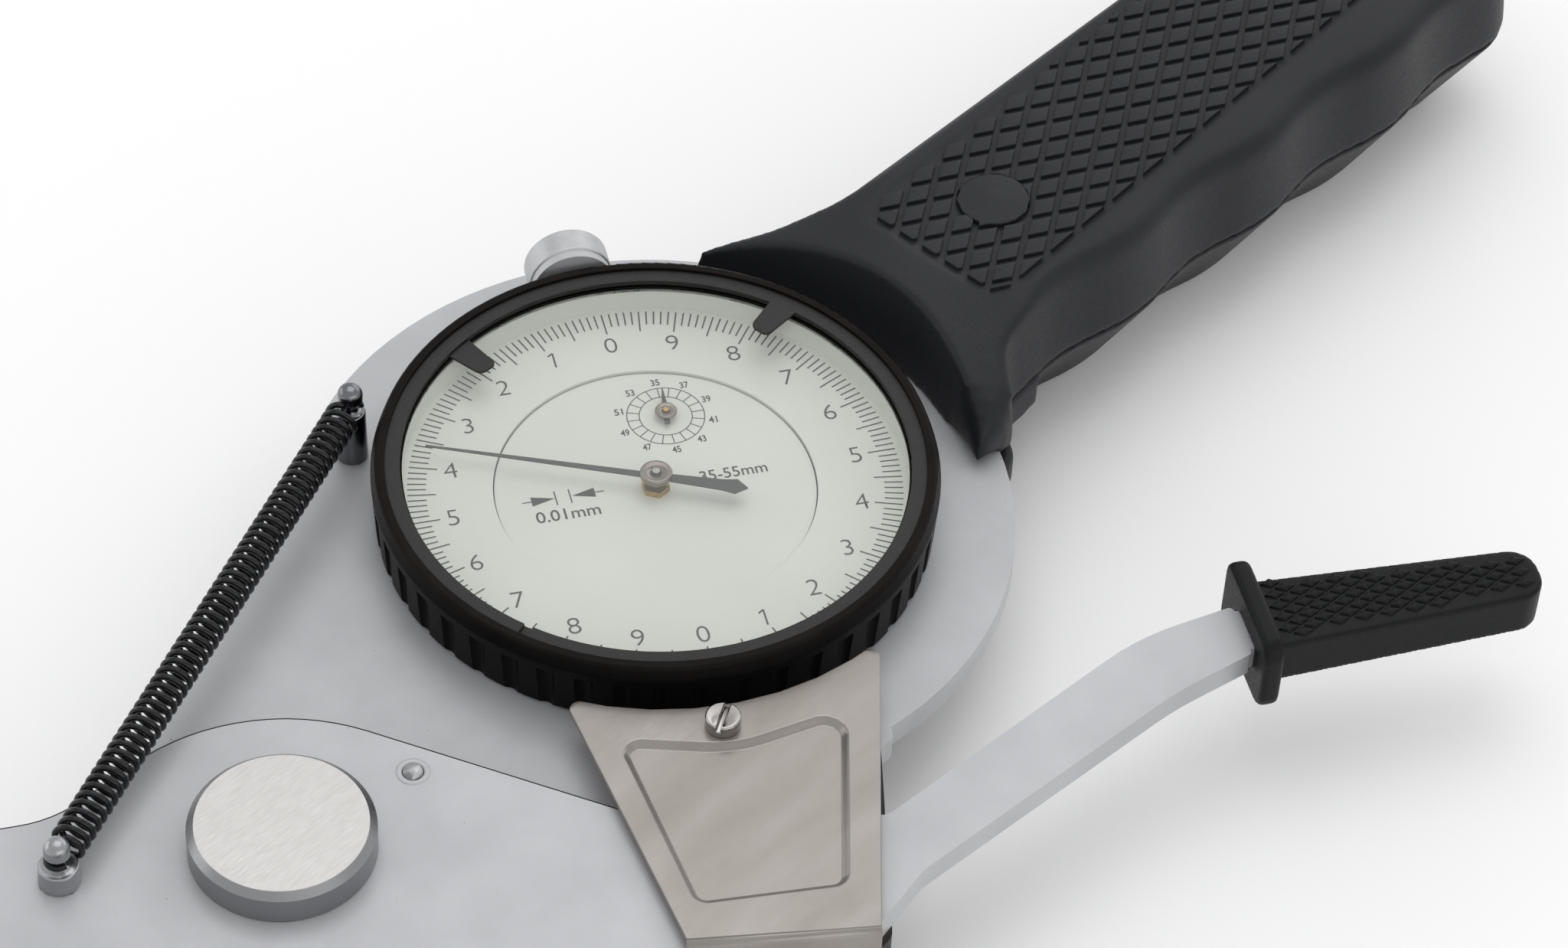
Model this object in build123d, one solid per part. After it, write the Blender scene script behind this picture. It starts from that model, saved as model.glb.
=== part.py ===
from build123d import *
from math import atan2, cos, degrees, hypot, pi, radians, sin, sqrt
import os

os.makedirs("parts", exist_ok=True)

# Internal dial caliper gauge, in millimetres. It lies on its back with the dial up. The origin
# is below the dial's centre in the back plane, +X runs along the handle and -X to the contacts.
# Outlines round the dial are drawn in the dial's own frame, whose +Y points at the ring's zero.
DIAL_TURN = 32.5

# Layers from the back plane up
HOUSING_DEPTH = 10.6
HOUSING_WALL = 1.8
HOUSING_FLOOR = 1.6
PLATE = 3.0
ARM_GAP = 0.1
ARM = 2.9
PLATE_LOW = HOUSING_DEPTH
PLATE_TOP = PLATE_LOW + PLATE
ARM_LOW = PLATE_TOP + ARM_GAP
ARM_TOP = ARM_LOW + ARM
RUNNING_FIT = 0.05
SEAT_GAP = 0.2

# Body plate
DISC_RADIUS = 38.5
WING_BLEND = 25.0
TANG_LENGTH = 118.0
TANG_WIDTH = 14.0
LAP_END = -95.2
LAP_TOP = -30.6
LEG_WIDTH_AT_LAP = 9.0

# Rear housing
HOUSING_RADIUS = 30.4
HOUSING_RIM = 0.1
BACK_SCREW_CIRCLE = HOUSING_RADIUS - 3.4
BACK_SCREW_ANGLES = (50.0, 130.0, 216.0, 324.0)
BOSS_RADIUS = 2.2

# Dial, bezel and crystal
CASE_RADIUS = 27.4
CASE_TOP = PLATE_TOP + 3.4
RING_DIAL = 0.5
DIAL_FACE = CASE_TOP + RING_DIAL
INNER_DIAL_RADIUS = 17.1
INNER_DIAL = 0.5
INNER_DIAL_DROP = 0.35
BEZEL_RADIUS = CASE_RADIUS + 2.35
BEZEL_RIM_RADIUS = BEZEL_RADIUS + 0.4
BEZEL_LOW = PLATE_TOP + 0.26
BEZEL_TOP = DIAL_FACE + 4.44
BEZEL_FLUTES = 46
CRYSTAL = 0.5
CRYSTAL_LOW = DIAL_FACE + 2.5
MARKER = 0.3
MARKER_GAP = 0.05
MARKER_WIDTH = 3.0
MARKER_REACH = 22.6
MARKER_ANGLES = (39.0, -43.5)

# Clamp knob for the bezel
CLAMP_X = -2.2
CLAMP_RADIUS = 4.65
CLAMP_HEIGHT = PLATE_TOP + CLAMP_RADIUS + 0.15
CLAMP_LENGTH = 3.4
CLAMP_STUD = 1.5
CLAMP_LUG_WIDTH = 2 * CLAMP_RADIUS - 0.4
CLAMP_LUG = 1.0
CLAMP_LUG_FACE = CASE_RADIUS + 4.1

# Pivot, arm and its swing
PIVOT = (-47.2, -39.5)
PIVOT_SHAFT = 4.0
PIVOT_BUSH = 5.5
PIVOT_CAP_RADIUS = 9.46
CAP_BEVEL = 0.76
CAP_HEIGHT = 3.95
LEG_CAP = (-69.4, -62.4)
LEG_STUD = 3.0
SWING = 9.6
STOP_PIN = (-32.7, -32.6)
STOP_PIN_RADIUS = 1.05
DRIVE_PIN_RADIUS = 1.5
DRIVE_PIN_LOW = 4.0

# Gear train
LEVER = 53.125
DRIVE_PIN_REACH = 53.2
RACK_MODULE = 0.2
RACK_PINION_TEETH = 17
RACK_TEETH = 20
WHEEL_MODULE = 0.3
WHEEL_TEETH = 96
CENTRE_PINION_TEETH = 8
COUNTER_DIAL = (3.5, 10.2)
COUNTER_PINION_TEETH = 8
COUNTER_WHEEL_TEETH = 80
ROD_RADIUS = 1.6
ROD_HEIGHT = 5.5
ROD_UPPER_END = 7.0
ROD_LOWER_END = -57.0
RACK_DEPTH = 1.1
ARBOR_RADIUS = 0.4
COUNTER_ARBOR_RADIUS = 0.3
WHEEL_ARBOR_RADIUS = 0.5

# Hands
HAND_LENGTH = 24.8
HAND_TAIL = 9.9
HAND_WIDTH = 0.8
HAND_SHEET = 0.15
HAND_HEIGHT = DIAL_FACE + 1.45
HAND_ANGLE = 67.6
HUB_RADIUS = 1.75
SMALL_HAND_LENGTH = 3.6
SMALL_HAND_HEIGHT = DIAL_FACE + 0.2
SMALL_HAND_ANGLE = -6.7

# Sheet cover over the linkage
COVER_SHEET = 0.6
COVER_TOP = DIAL_FACE + 0.7
COVER_RECESS = 0.7
COVER_FLAP = 7.0
COVER_SCREW = (-1.1, -34.5)
SPACER_RADIUS = 1.7
COVER_SCREW_HEAD = 1.85

# Handle
HANDLE_TOP = 24.3
HANDLE_PARTING = 12.1
HANDLE_PANEL = 0.5
HANDLE_SCREWS_X = (53.2, TANG_LENGTH - 6.0)
HANDLE_SCREW_RADIUS = 2.0
PLUG_RADIUS = 3.5
FINGER_PITCH = 22.0
FINGER_FIRST = 50.0
FINGER_GROOVES = 4
FINGER_WAVE = 1.1
FINGER_BLEND = 24.0

# Lever grip
GRIP_START = 57.8
GRIP_LENGTH = 30.3
GRIP_MIDDLE = -31.4
GRIP_WIDTH = 9.5
GRIP_END_WIDTH = 6.6
GRIP_THICKNESS = 5.4
GUARD = 2.2
GUARD_WIDTH = 14.0
GUARD_LOW = 10.2
GUARD_HIGH = 20.0

# Return spring and its posts
UPPER_POST = (-29.9, 15.0)
LOWER_POST = (-69.3, -38.9)
UPPER_POST_HEIGHT = 6.7
LOWER_POST_HEIGHT = 2.4
POST_NECK = 0.75
SPRING_RADIUS = 1.7
SPRING_WIRE = 0.6
SPRING_COILS = 30

# Legs and contacts
CONTACT_X = -180.4
MOVING_CONTACT_Y = 12.0
FIXED_CONTACT_Y = -43.4
LEG_THICKNESS = 6.0
CONTACT_RADIUS = 1.25
CONTACT_BALL = 0.8


def in_dial(shape):
    """A shape drawn in the dial's frame, turned into the gauge's frame."""
    return Rot(0, 0, -DIAL_TURN) * shape


def to_gauge(x, y):
    """A point of the dial's frame in the gauge's frame."""
    turn = radians(-DIAL_TURN)
    return x * cos(turn) - y * sin(turn), x * sin(turn) + y * cos(turn)


def outline(*corners):
    """A closed face from corners (x, y, fillet radius)."""
    points = [corner[:2] for corner in corners]
    path = FilletPolyline(*points, radius=[corner[2] for corner in corners], close=True)
    return make_face(path.edges())


def prism(face, low, high):
    """A face raised into a solid between two heights."""
    return Pos(0, 0, low) * extrude(face, amount=high - low, dir=(0, 0, 1))


def disc(radius, low, high, bore=0.0, at=(0, 0)):
    """A round plate, pin or tube between two heights."""
    blank = Circle(radius) - Circle(bore) if bore else Circle(radius)
    return Pos(at[0], at[1], 0) * prism(blank, low, high)


def turned(*corners, at=(0, 0)):
    """A solid turned about an upright axis from corners (radius, height, fillet radius)."""
    return Pos(at[0], at[1], 0) * revolve(Plane.XZ * outline(*corners), Axis.Z)


def sector(radius, low, high, start, end):
    """A wedge about the origin from one angle to another, in degrees."""
    reach = 2 * radius
    middle = (start + end) / 2
    points = [(0, 0)] + [
        (reach * cos(radians(angle)), reach * sin(radians(angle))) for angle in (start, middle, end)
    ]
    return prism(make_face(Polyline(*points, close=True)), low, high)


def gear_face(teeth, module, turn=0.0, bore=0.0):
    """A spur gear with straight flanks and free backlash, one tooth pointing at the turn angle."""
    pitch = module * teeth / 2
    step = 2 * pi / teeth
    flank = ((pitch - 1.1 * module, -0.30), (pitch + 0.8 * module, -0.13))
    flank = flank + tuple((radius, -share) for radius, share in reversed(flank))
    corners = []
    for tooth in range(teeth):
        for radius, share in flank:
            angle = radians(turn) + (tooth + share) * step
            corners.append((radius * cos(angle), radius * sin(angle)))
    face = make_face(Polyline(*corners, close=True))
    return face - Circle(bore) if bore else face


def save(name, shape):
    """One named piece of the gauge, written as a STEP file."""
    export_step(shape, f"parts/{name}.step")


# Where the arm's drive pin, the plunger and the three arbors stand
plunger_x = PIVOT[0] + LEVER
rest_angle = -SWING / 2
drive_pin = (
    PIVOT[0] + DRIVE_PIN_REACH * cos(radians(rest_angle)),
    PIVOT[1] + DRIVE_PIN_REACH * sin(radians(rest_angle)),
)
travel = LEVER * radians(SWING)
rack_line = plunger_x - RACK_DEPTH
rack_pinion_pitch = RACK_MODULE * RACK_PINION_TEETH / 2
wheel_x = rack_line - rack_pinion_pitch
wheel_reach = WHEEL_MODULE * (WHEEL_TEETH + CENTRE_PINION_TEETH) / 2
wheel_at = (wheel_x, -sqrt(wheel_reach**2 - wheel_x**2))
counter_reach = hypot(*COUNTER_DIAL)
COUNTER_MODULE = 2 * counter_reach / (COUNTER_PINION_TEETH + COUNTER_WHEEL_TEETH)
to_centre = degrees(atan2(-wheel_at[1], -wheel_at[0]))
to_counter = degrees(atan2(COUNTER_DIAL[1], COUNTER_DIAL[0]))

# The plunger's lobe of the housing, in the dial's frame
LOBE_ROOT = 5.0 - HOUSING_RADIUS
lobe = outline(
    (17.7, LOBE_ROOT, 0),
    (9.6, -62.4, 2.5),
    (-10.7, -60.0, 2.5),
    (-15.3, LOBE_ROOT, 0),
)
plate_lobe = offset(lobe, -HOUSING_WALL - SEAT_GAP)

# Body plate: dial disc, wing to the pivot, lap for the fixed leg, lobe and handle tang
lap_low = LAP_TOP - LEG_WIDTH_AT_LAP
wing = outline(
    (0.0, 37.0, 0),
    (-76.5, 6.2, 8.0),
    (-79.5, -3.0, 6.0),
    (-79.5, LAP_TOP, 1.5),
    (LAP_END, LAP_TOP, 1.0),
    (LAP_END, lap_low, 1.0),
    (-70.0, lap_low, 12.0),
    (*to_gauge(-9.0, -57.6), 4.0),
    (0.0, -20.0, 0),
)
shoulder = outline((17.5, -30.0, 0), (16.6, -36.1, 0.6), (15.0, -37.2, 0.6), (0.0, -37.0, 0), (0, -20, 0))
tang = Pos(TANG_LENGTH / 2, 0) * RectangleRounded(TANG_LENGTH, TANG_WIDTH, 3.0)
plate_face = Circle(DISC_RADIUS) + wing + in_dial(plate_lobe) + in_dial(shoulder) + tang
blend_at = plate_face.vertices().sort_by_distance((-29.0, 25.3))[0]
plate_face = fillet(blend_at, WING_BLEND)
stop_reach = hypot(STOP_PIN[0] - PIVOT[0], STOP_PIN[1] - PIVOT[1])
stop_angle = degrees(atan2(STOP_PIN[1] - PIVOT[1], STOP_PIN[0] - PIVOT[0]))
stop_slot = SlotArc(
    CenterArc(PIVOT, stop_reach, stop_angle, SWING),
    2 * (STOP_PIN_RADIUS + RUNNING_FIT),
)
pin_slot = Pos(plunger_x, drive_pin[1] + travel / 2) * SlotOverall(
    travel + 3 * DRIVE_PIN_RADIUS, 2 * DRIVE_PIN_RADIUS + 0.8, rotation=90
)
lug = Pos(CLAMP_X, CLAMP_LUG_FACE - CLAMP_LUG / 2, 0) * prism(
    Rectangle(CLAMP_LUG_WIDTH, CLAMP_LUG), PLATE_TOP, CLAMP_HEIGHT
)
lug += Pos(CLAMP_X, CLAMP_LUG_FACE - CLAMP_LUG, CLAMP_HEIGHT) * (
    Rot(-90, 0, 0) * extrude(Circle(CLAMP_LUG_WIDTH / 2), amount=CLAMP_LUG)
)
lug -= Pos(CLAMP_X, CLAMP_LUG_FACE - 2 * CLAMP_LUG, CLAMP_HEIGHT) * (
    Rot(-90, 0, 0) * extrude(Circle(CLAMP_STUD), amount=3 * CLAMP_LUG)
)
CENTRE_BUSH_RADIUS = 2.0
back_screw_spots = [
    (BACK_SCREW_CIRCLE * cos(radians(angle)), BACK_SCREW_CIRCLE * sin(radians(angle)))
    for angle in BACK_SCREW_ANGLES
]
BACK_SCREW_RADIUS = 1.0
BACK_SCREW_BITE = 2.0
dial_holes = prism(stop_slot + pin_slot, PLATE_LOW, PLATE_TOP)
dial_holes += disc(PIVOT_SHAFT, PLATE_LOW, PLATE_TOP, at=PIVOT)
dial_holes += disc(CENTRE_BUSH_RADIUS, PLATE_LOW, PLATE_TOP)
dial_holes += disc(COUNTER_ARBOR_RADIUS + RUNNING_FIT, PLATE_LOW + 1.0, PLATE_TOP, at=COUNTER_DIAL)
dial_holes += disc(WHEEL_ARBOR_RADIUS + RUNNING_FIT, PLATE_LOW, PLATE_LOW + 2.0, at=wheel_at)
for spot in back_screw_spots:
    dial_holes += disc(BACK_SCREW_RADIUS, PLATE_LOW, PLATE_LOW + BACK_SCREW_BITE, at=spot)
LEG_SCREW_SPOTS = ((-75.0, LAP_TOP - LEG_WIDTH_AT_LAP / 2), (-89.5, LAP_TOP - LEG_WIDTH_AT_LAP / 2))
LEG_SCREW_RADIUS = 1.5
LEG_SCREW_HEAD = 2.6
LEG_SCREW_HEAD_DEPTH = 1.6
body_plate = prism(plate_face, PLATE_LOW, PLATE_TOP) + in_dial(lug) - in_dial(dial_holes)
for x in HANDLE_SCREWS_X:
    body_plate -= disc(HANDLE_SCREW_RADIUS, PLATE_LOW, PLATE_TOP, at=(x, 0))
for spot in LEG_SCREW_SPOTS:
    body_plate -= disc(LEG_SCREW_RADIUS, PLATE_LOW, PLATE_TOP, at=spot)
    body_plate -= disc(LEG_SCREW_HEAD, PLATE_TOP - LEG_SCREW_HEAD_DEPTH, PLATE_TOP, at=spot)
save("body_plate", body_plate)

# Rear housing: a moulded pan screwed to the plate from the back, its lobe walled up beside it
housing_plan = Circle(HOUSING_RADIUS) + lobe
housing_inside = offset(housing_plan, -HOUSING_WALL)
housing = prism(housing_plan, 0, HOUSING_DEPTH) - prism(housing_inside, HOUSING_FLOOR, HOUSING_DEPTH)
raised = prism(lobe - offset(lobe, -HOUSING_WALL), HOUSING_DEPTH, PLATE_TOP - HOUSING_RIM)
raised -= Rot(0, 0, DIAL_TURN) * prism(offset(plate_face, SEAT_GAP), HOUSING_DEPTH, PLATE_TOP)
housing += raised
for spot in back_screw_spots:
    housing += disc(BOSS_RADIUS, HOUSING_FLOOR, HOUSING_DEPTH, at=spot)
    housing -= disc(BACK_SCREW_RADIUS, 0, HOUSING_DEPTH, at=spot)
    housing -= disc(2 * BACK_SCREW_RADIUS, 0, 1.0, at=spot)
save("rear_housing", in_dial(housing))

screws = Part()
for spot in back_screw_spots:
    screws += disc(2 * BACK_SCREW_RADIUS, 0.1, 1.0, at=spot)
    screws += disc(BACK_SCREW_RADIUS, 1.0, HOUSING_DEPTH + BACK_SCREW_BITE, at=spot)
save("housing_screws", in_dial(screws))

# Rear bridge: the brass plate that carries the arbors' lower pivots, on two pillars
BRIDGE_LOW = 2.6
BRIDGE = 1.2
PILLARS = ((-17.0, -4.0), (17.5, -4.0))
PILLAR_RADIUS = 1.8
bridge_face = outline(
    (-20.5, 2.0, 3.0),
    (-20.5, -7.0, 3.0),
    (wheel_at[0] - 5.5, wheel_at[1] - 3.5, 3.0),
    (wheel_at[0] + 3.5, wheel_at[1] - 3.5, 3.0),
    (21.0, -7.0, 3.0),
    (21.0, 2.0, 3.0),
)
bridge = prism(bridge_face, BRIDGE_LOW, BRIDGE_LOW + BRIDGE)
bridge -= disc(ARBOR_RADIUS + RUNNING_FIT, BRIDGE_LOW, BRIDGE_LOW + BRIDGE)
bridge -= disc(WHEEL_ARBOR_RADIUS + RUNNING_FIT, BRIDGE_LOW, BRIDGE_LOW + BRIDGE, at=wheel_at)
save("rear_bridge", in_dial(bridge))
pillars = Part()
for spot in PILLARS:
    pillars += disc(PILLAR_RADIUS, BRIDGE_LOW + BRIDGE, PLATE_LOW, at=spot)
save("bridge_pillars", in_dial(pillars))

# Plunger: a guided rod with a rack, driven by the arm's pin in a slotted block
BLOCK_WIDTH = 6.0
BLOCK_LENGTH = 5.2
BLOCK_HEIGHT = 4.2
rod = Pos(plunger_x, ROD_LOWER_END, ROD_HEIGHT) * (
    Rot(-90, 0, 0) * extrude(Circle(ROD_RADIUS), amount=ROD_UPPER_END - ROD_LOWER_END)
)
rack_pitch = pi * RACK_MODULE
rack_tip = rack_line - 0.8 * RACK_MODULE
rack_root = rack_line + 1.1 * RACK_MODULE
rack_first = wheel_at[1] - (RACK_TEETH - 4) * rack_pitch
rack_last = rack_first + (RACK_TEETH - 1) * rack_pitch
rod -= Pos(rack_tip - ROD_RADIUS, (rack_first + rack_last) / 2, 0) * prism(
    Rectangle(2 * ROD_RADIUS, rack_last - rack_first + rack_pitch),
    ROD_HEIGHT - ROD_RADIUS,
    ROD_HEIGHT + ROD_RADIUS,
)
for tooth in range(RACK_TEETH + 1):
    gap_y = rack_first + (tooth - 0.5) * rack_pitch
    gap = Polyline(
        (rack_tip, gap_y - 0.37 * rack_pitch),
        (rack_tip, gap_y + 0.37 * rack_pitch),
        (rack_root, gap_y + 0.20 * rack_pitch),
        (rack_root, gap_y - 0.20 * rack_pitch),
        close=True,
    )
    rod -= prism(make_face(gap), ROD_HEIGHT - ROD_RADIUS, ROD_HEIGHT + ROD_RADIUS)
block = Pos(plunger_x, drive_pin[1], ROD_HEIGHT - BLOCK_HEIGHT / 2) * extrude(
    RectangleRounded(BLOCK_WIDTH, BLOCK_LENGTH, 0.6), amount=BLOCK_HEIGHT
)
block_slot = SlotOverall(2 * DRIVE_PIN_RADIUS + 0.9, 2 * (DRIVE_PIN_RADIUS + RUNNING_FIT))
plunger = rod + block - Pos(plunger_x, drive_pin[1], 0) * prism(block_slot, 0, PLATE_LOW)
save("plunger", in_dial(plunger))

BUSH = 2.8
BUSH_WIDTH = 5.2
bush_spots = {
    "plunger_bush_lower": drive_pin[1] - BLOCK_LENGTH / 2 - 0.5 - BUSH / 2,
    "plunger_bush_middle": drive_pin[1] + travel + BLOCK_LENGTH / 2 + 0.4 + BUSH / 2,
    "plunger_bush_upper": ROD_UPPER_END - 0.8 - BUSH / 2,
}
for name, y in bush_spots.items():
    bush = Pos(plunger_x, y, 0) * prism(Rectangle(BUSH_WIDTH, BUSH), HOUSING_FLOOR, ROD_HEIGHT + 2.0)
    bush -= Pos(plunger_x, y - BUSH, ROD_HEIGHT) * (
        Rot(-90, 0, 0) * extrude(Circle(ROD_RADIUS + RUNNING_FIT), amount=2 * BUSH)
    )
    save(name, in_dial(bush))

# Intermediate gear: a small pinion on the rack and the large wheel above it
WHEEL_LOW = 8.0
WHEEL_HIGH = 9.0
wheel = prism(gear_face(RACK_PINION_TEETH, RACK_MODULE, 180 / RACK_PINION_TEETH), 4.4, 6.4)
windows = Part()
for n in range(4):
    windows += Rot(0, 0, 45 + 90 * n) * Pos(7.8, 0, 0) * disc(3.4, WHEEL_LOW, WHEEL_HIGH)
wheel += prism(gear_face(WHEEL_TEETH, WHEEL_MODULE, to_centre), WHEEL_LOW, WHEEL_HIGH) - windows
wheel += disc(WHEEL_ARBOR_RADIUS, BRIDGE_LOW, PLATE_LOW + 2.0)
wheel += disc(1.2, 6.4, WHEEL_LOW)
save("intermediate_gear", in_dial(Pos(*wheel_at) * wheel))

# Centre arbor with the pinion below the plate and the counter's pinion above it
CENTRE_PINION_LOW = 7.7
COUNTER_WHEEL_LOW = PLATE_TOP + 1.4
COUNTER_WHEEL = 0.8
centre_pinion = gear_face(CENTRE_PINION_TEETH, WHEEL_MODULE, to_centre + 180 + 180 / CENTRE_PINION_TEETH)
counter_pinion = gear_face(COUNTER_PINION_TEETH, COUNTER_MODULE, to_counter)
centre_arbor = disc(ARBOR_RADIUS, BRIDGE_LOW, HAND_HEIGHT + HAND_SHEET + 0.8)
centre_arbor += prism(centre_pinion, CENTRE_PINION_LOW, CENTRE_PINION_LOW + 1.7)
centre_arbor += prism(counter_pinion, COUNTER_WHEEL_LOW - 0.1, COUNTER_WHEEL_LOW + COUNTER_WHEEL + 0.2)
save("centre_arbor", in_dial(centre_arbor))
save("centre_bush", disc(CENTRE_BUSH_RADIUS, PLATE_LOW, PLATE_TOP, ARBOR_RADIUS + RUNNING_FIT)
     + disc(CENTRE_BUSH_RADIUS + 0.8, PLATE_TOP, PLATE_TOP + 0.5, ARBOR_RADIUS + RUNNING_FIT))

# Counter gear under the inner dial, ten times slower than the centre arbor
counter = prism(
    gear_face(COUNTER_WHEEL_TEETH, COUNTER_MODULE, to_counter + 180 + 180 / COUNTER_WHEEL_TEETH),
    COUNTER_WHEEL_LOW,
    COUNTER_WHEEL_LOW + COUNTER_WHEEL,
)
counter += disc(COUNTER_ARBOR_RADIUS, PLATE_LOW + 1.0, SMALL_HAND_HEIGHT + 0.5)
counter += disc(0.9, PLATE_TOP + 0.1, COUNTER_WHEEL_LOW)
save("counter_gear", in_dial(Pos(*COUNTER_DIAL) * counter))

# Hairspring that keeps the train against one flank, and its stud on the plate
HAIRSPRING_LOW = 9.6
HAIRSPRING_BAND = 0.15
HAIRSPRING_STEP = 0.45
HAIRSPRING_FIRST = 1.6
HAIRSPRING_HALVES = 8
hairspring = Sketch()
for half in range(HAIRSPRING_HALVES):
    radius = HAIRSPRING_FIRST + half * HAIRSPRING_STEP
    side = 1 if half % 2 == 0 else -1
    centre = 0 if half % 2 == 0 else HAIRSPRING_STEP
    ring = Circle(radius + HAIRSPRING_BAND / 2) - Circle(radius - HAIRSPRING_BAND / 2)
    window = Pos(0, side * 2 * radius) * Rectangle(4 * radius, 4 * radius)
    hairspring += Pos(centre, 0) * (ring & window)
spring_end = HAIRSPRING_STEP - HAIRSPRING_FIRST - (HAIRSPRING_HALVES - 1) * HAIRSPRING_STEP
save("hairspring", in_dial(prism(hairspring, HAIRSPRING_LOW, HAIRSPRING_LOW + 0.6)))

# Dial case: a ring on the plate that the bezel turns on, with seats for both dials
SNAP_LOW = PLATE_TOP + 1.25
SNAP = 0.5
SNAP_DEPTH = 0.45
inner_seat = DIAL_FACE - INNER_DIAL_DROP - INNER_DIAL
case = turned(
    (CASE_RADIUS, PLATE_TOP, 0),
    (CASE_RADIUS, SNAP_LOW, 0),
    (CASE_RADIUS - SNAP_DEPTH, SNAP_LOW, 0),
    (CASE_RADIUS - SNAP_DEPTH, SNAP_LOW + SNAP, 0),
    (CASE_RADIUS, SNAP_LOW + SNAP, 0),
    (CASE_RADIUS, CASE_TOP, 0),
    (INNER_DIAL_RADIUS + 0.15, CASE_TOP, 0),
    (INNER_DIAL_RADIUS + 0.15, inner_seat, 0),
    (INNER_DIAL_RADIUS - 1.6, inner_seat, 0),
    (INNER_DIAL_RADIUS - 1.6, inner_seat - 0.5, 0),
    (CASE_RADIUS - 1.5, inner_seat - 0.5, 0),
    (CASE_RADIUS - 1.5, PLATE_TOP, 0),
)
save("dial_case", case)
snap = disc(CASE_RADIUS + 0.3, SNAP_LOW + 0.03, SNAP_LOW + SNAP - 0.03, CASE_RADIUS - SNAP_DEPTH)
save("bezel_snap_wire", in_dial(snap - sector(CASE_RADIUS, PLATE_TOP, CASE_TOP, 250, 262)))

# Inner dial with the counter's scale, and the hexagon collar that holds it
inner_dial_low = inner_seat
inner_dial_top = inner_seat + INNER_DIAL
COLLAR_RADIUS = 1.55
inner_dial = disc(INNER_DIAL_RADIUS, inner_dial_low, inner_dial_top, 1.0)
inner_dial -= in_dial(disc(0.6, inner_dial_low, inner_dial_top, at=COUNTER_DIAL))
save("inner_dial", inner_dial)
collar = prism(RegularPolygon(COLLAR_RADIUS, 6), inner_dial_top, inner_dial_top + 0.8)
collar += disc(1.0, inner_dial_low - 0.1, inner_dial_top)
collar -= disc(ARBOR_RADIUS + RUNNING_FIT, inner_dial_low - 0.1, inner_dial_top + 0.8)
save("centre_collar", collar)

# Bezel with its flutes, and what turns with it
wall_radius = CASE_RADIUS - 0.15
groove_low = CRYSTAL_LOW + CRYSTAL + 0.35
groove_high = groove_low + 2 * MARKER + 3 * MARKER_GAP
MARKER_OUTER = CASE_RADIUS + 1.42
MARKER_INNER = CASE_RADIUS - 0.4
bezel = turned(
    (CASE_RADIUS + RUNNING_FIT, BEZEL_LOW, 0),
    (BEZEL_RADIUS, BEZEL_LOW, 0.3),
    (BEZEL_RIM_RADIUS, BEZEL_TOP - 1.6, 1.0),
    (BEZEL_RIM_RADIUS - 0.5, BEZEL_TOP, 0.5),
    (MARKER_OUTER - 0.2, BEZEL_TOP, 0.1),
    (MARKER_OUTER - 0.2, groove_high, 0),
    (MARKER_OUTER + 0.08, groove_high, 0),
    (MARKER_OUTER + 0.08, groove_low, 0),
    (wall_radius - 0.45, groove_low, 0),
    (wall_radius - 0.45, CRYSTAL_LOW + CRYSTAL, 0),
    (wall_radius, CRYSTAL_LOW + CRYSTAL, 0),
    (wall_radius, CASE_TOP, 0),
    (CASE_RADIUS + RUNNING_FIT, CASE_TOP, 0),
    (CASE_RADIUS + RUNNING_FIT, SNAP_LOW + SNAP, 0),
    (CASE_RADIUS + SNAP_DEPTH, SNAP_LOW + SNAP, 0),
    (CASE_RADIUS + SNAP_DEPTH, SNAP_LOW, 0),
    (CASE_RADIUS + RUNNING_FIT, SNAP_LOW, 0),
)
FLUTE_RADIUS = 1.1
FLUTE_DEPTH = 0.35
flutes = Part()
for n in range(BEZEL_FLUTES):
    flutes += Rot(0, 0, n * 360 / BEZEL_FLUTES) * disc(
        FLUTE_RADIUS, BEZEL_LOW, BEZEL_TOP - 2.6, at=(BEZEL_RADIUS + FLUTE_RADIUS - FLUTE_DEPTH, 0)
    )
save("bezel", in_dial(bezel - flutes))
ring_dial = disc(wall_radius, CASE_TOP, DIAL_FACE, INNER_DIAL_RADIUS + 0.15)
ring_dial += disc(wall_radius, DIAL_FACE, CRYSTAL_LOW, wall_radius - 0.35)
save("ring_dial", ring_dial)
save("crystal", disc(wall_radius - 0.05, CRYSTAL_LOW, CRYSTAL_LOW + CRYSTAL))

MARKER_SPLITS = (100.0, -138.0)
for name, level, angle, split in zip(("limit_marker_lower", "limit_marker_upper"), (0, 1),
                                     MARKER_ANGLES, MARKER_SPLITS):
    low = groove_low + MARKER_GAP + level * (MARKER + MARKER_GAP)
    marker = disc(MARKER_OUTER, low, low + MARKER, MARKER_INNER)
    tab = outline(
        (-MARKER_WIDTH / 2, MARKER_INNER + 0.6, 0),
        (-MARKER_WIDTH / 2, MARKER_REACH, 1.0),
        (0.8, MARKER_REACH - 0.3, 0.7),
        (MARKER_WIDTH / 2 + 0.3, MARKER_INNER + 0.6, 0),
    )
    marker += Rot(0, 0, angle) * prism(tab, low, low + MARKER)
    marker -= Rot(0, 0, 90 - split) * Pos(MARKER_OUTER - 0.9, 0, 0) * prism(Rectangle(4.0, 1.0), low, low + MARKER)
    save(name, in_dial(marker))

# Clamp knob: a thumb nut whose stud bears on the bezel
knob_low = CLAMP_LUG_FACE
STUD_GAP = 0.15
stud_tip = sqrt(BEZEL_RIM_RADIUS**2 - CLAMP_X**2) + STUD_GAP
knob_body = turned((0, 0, 0), (CLAMP_RADIUS, 0, 0.3), (CLAMP_RADIUS, CLAMP_LENGTH, 0.5), (0, CLAMP_LENGTH, 0))
knob_body += disc(CLAMP_STUD - RUNNING_FIT, stud_tip - knob_low, 0)
save("clamp_knob", in_dial(Pos(CLAMP_X, knob_low, CLAMP_HEIGHT) * Rot(-90, 0, 0) * knob_body))

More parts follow.
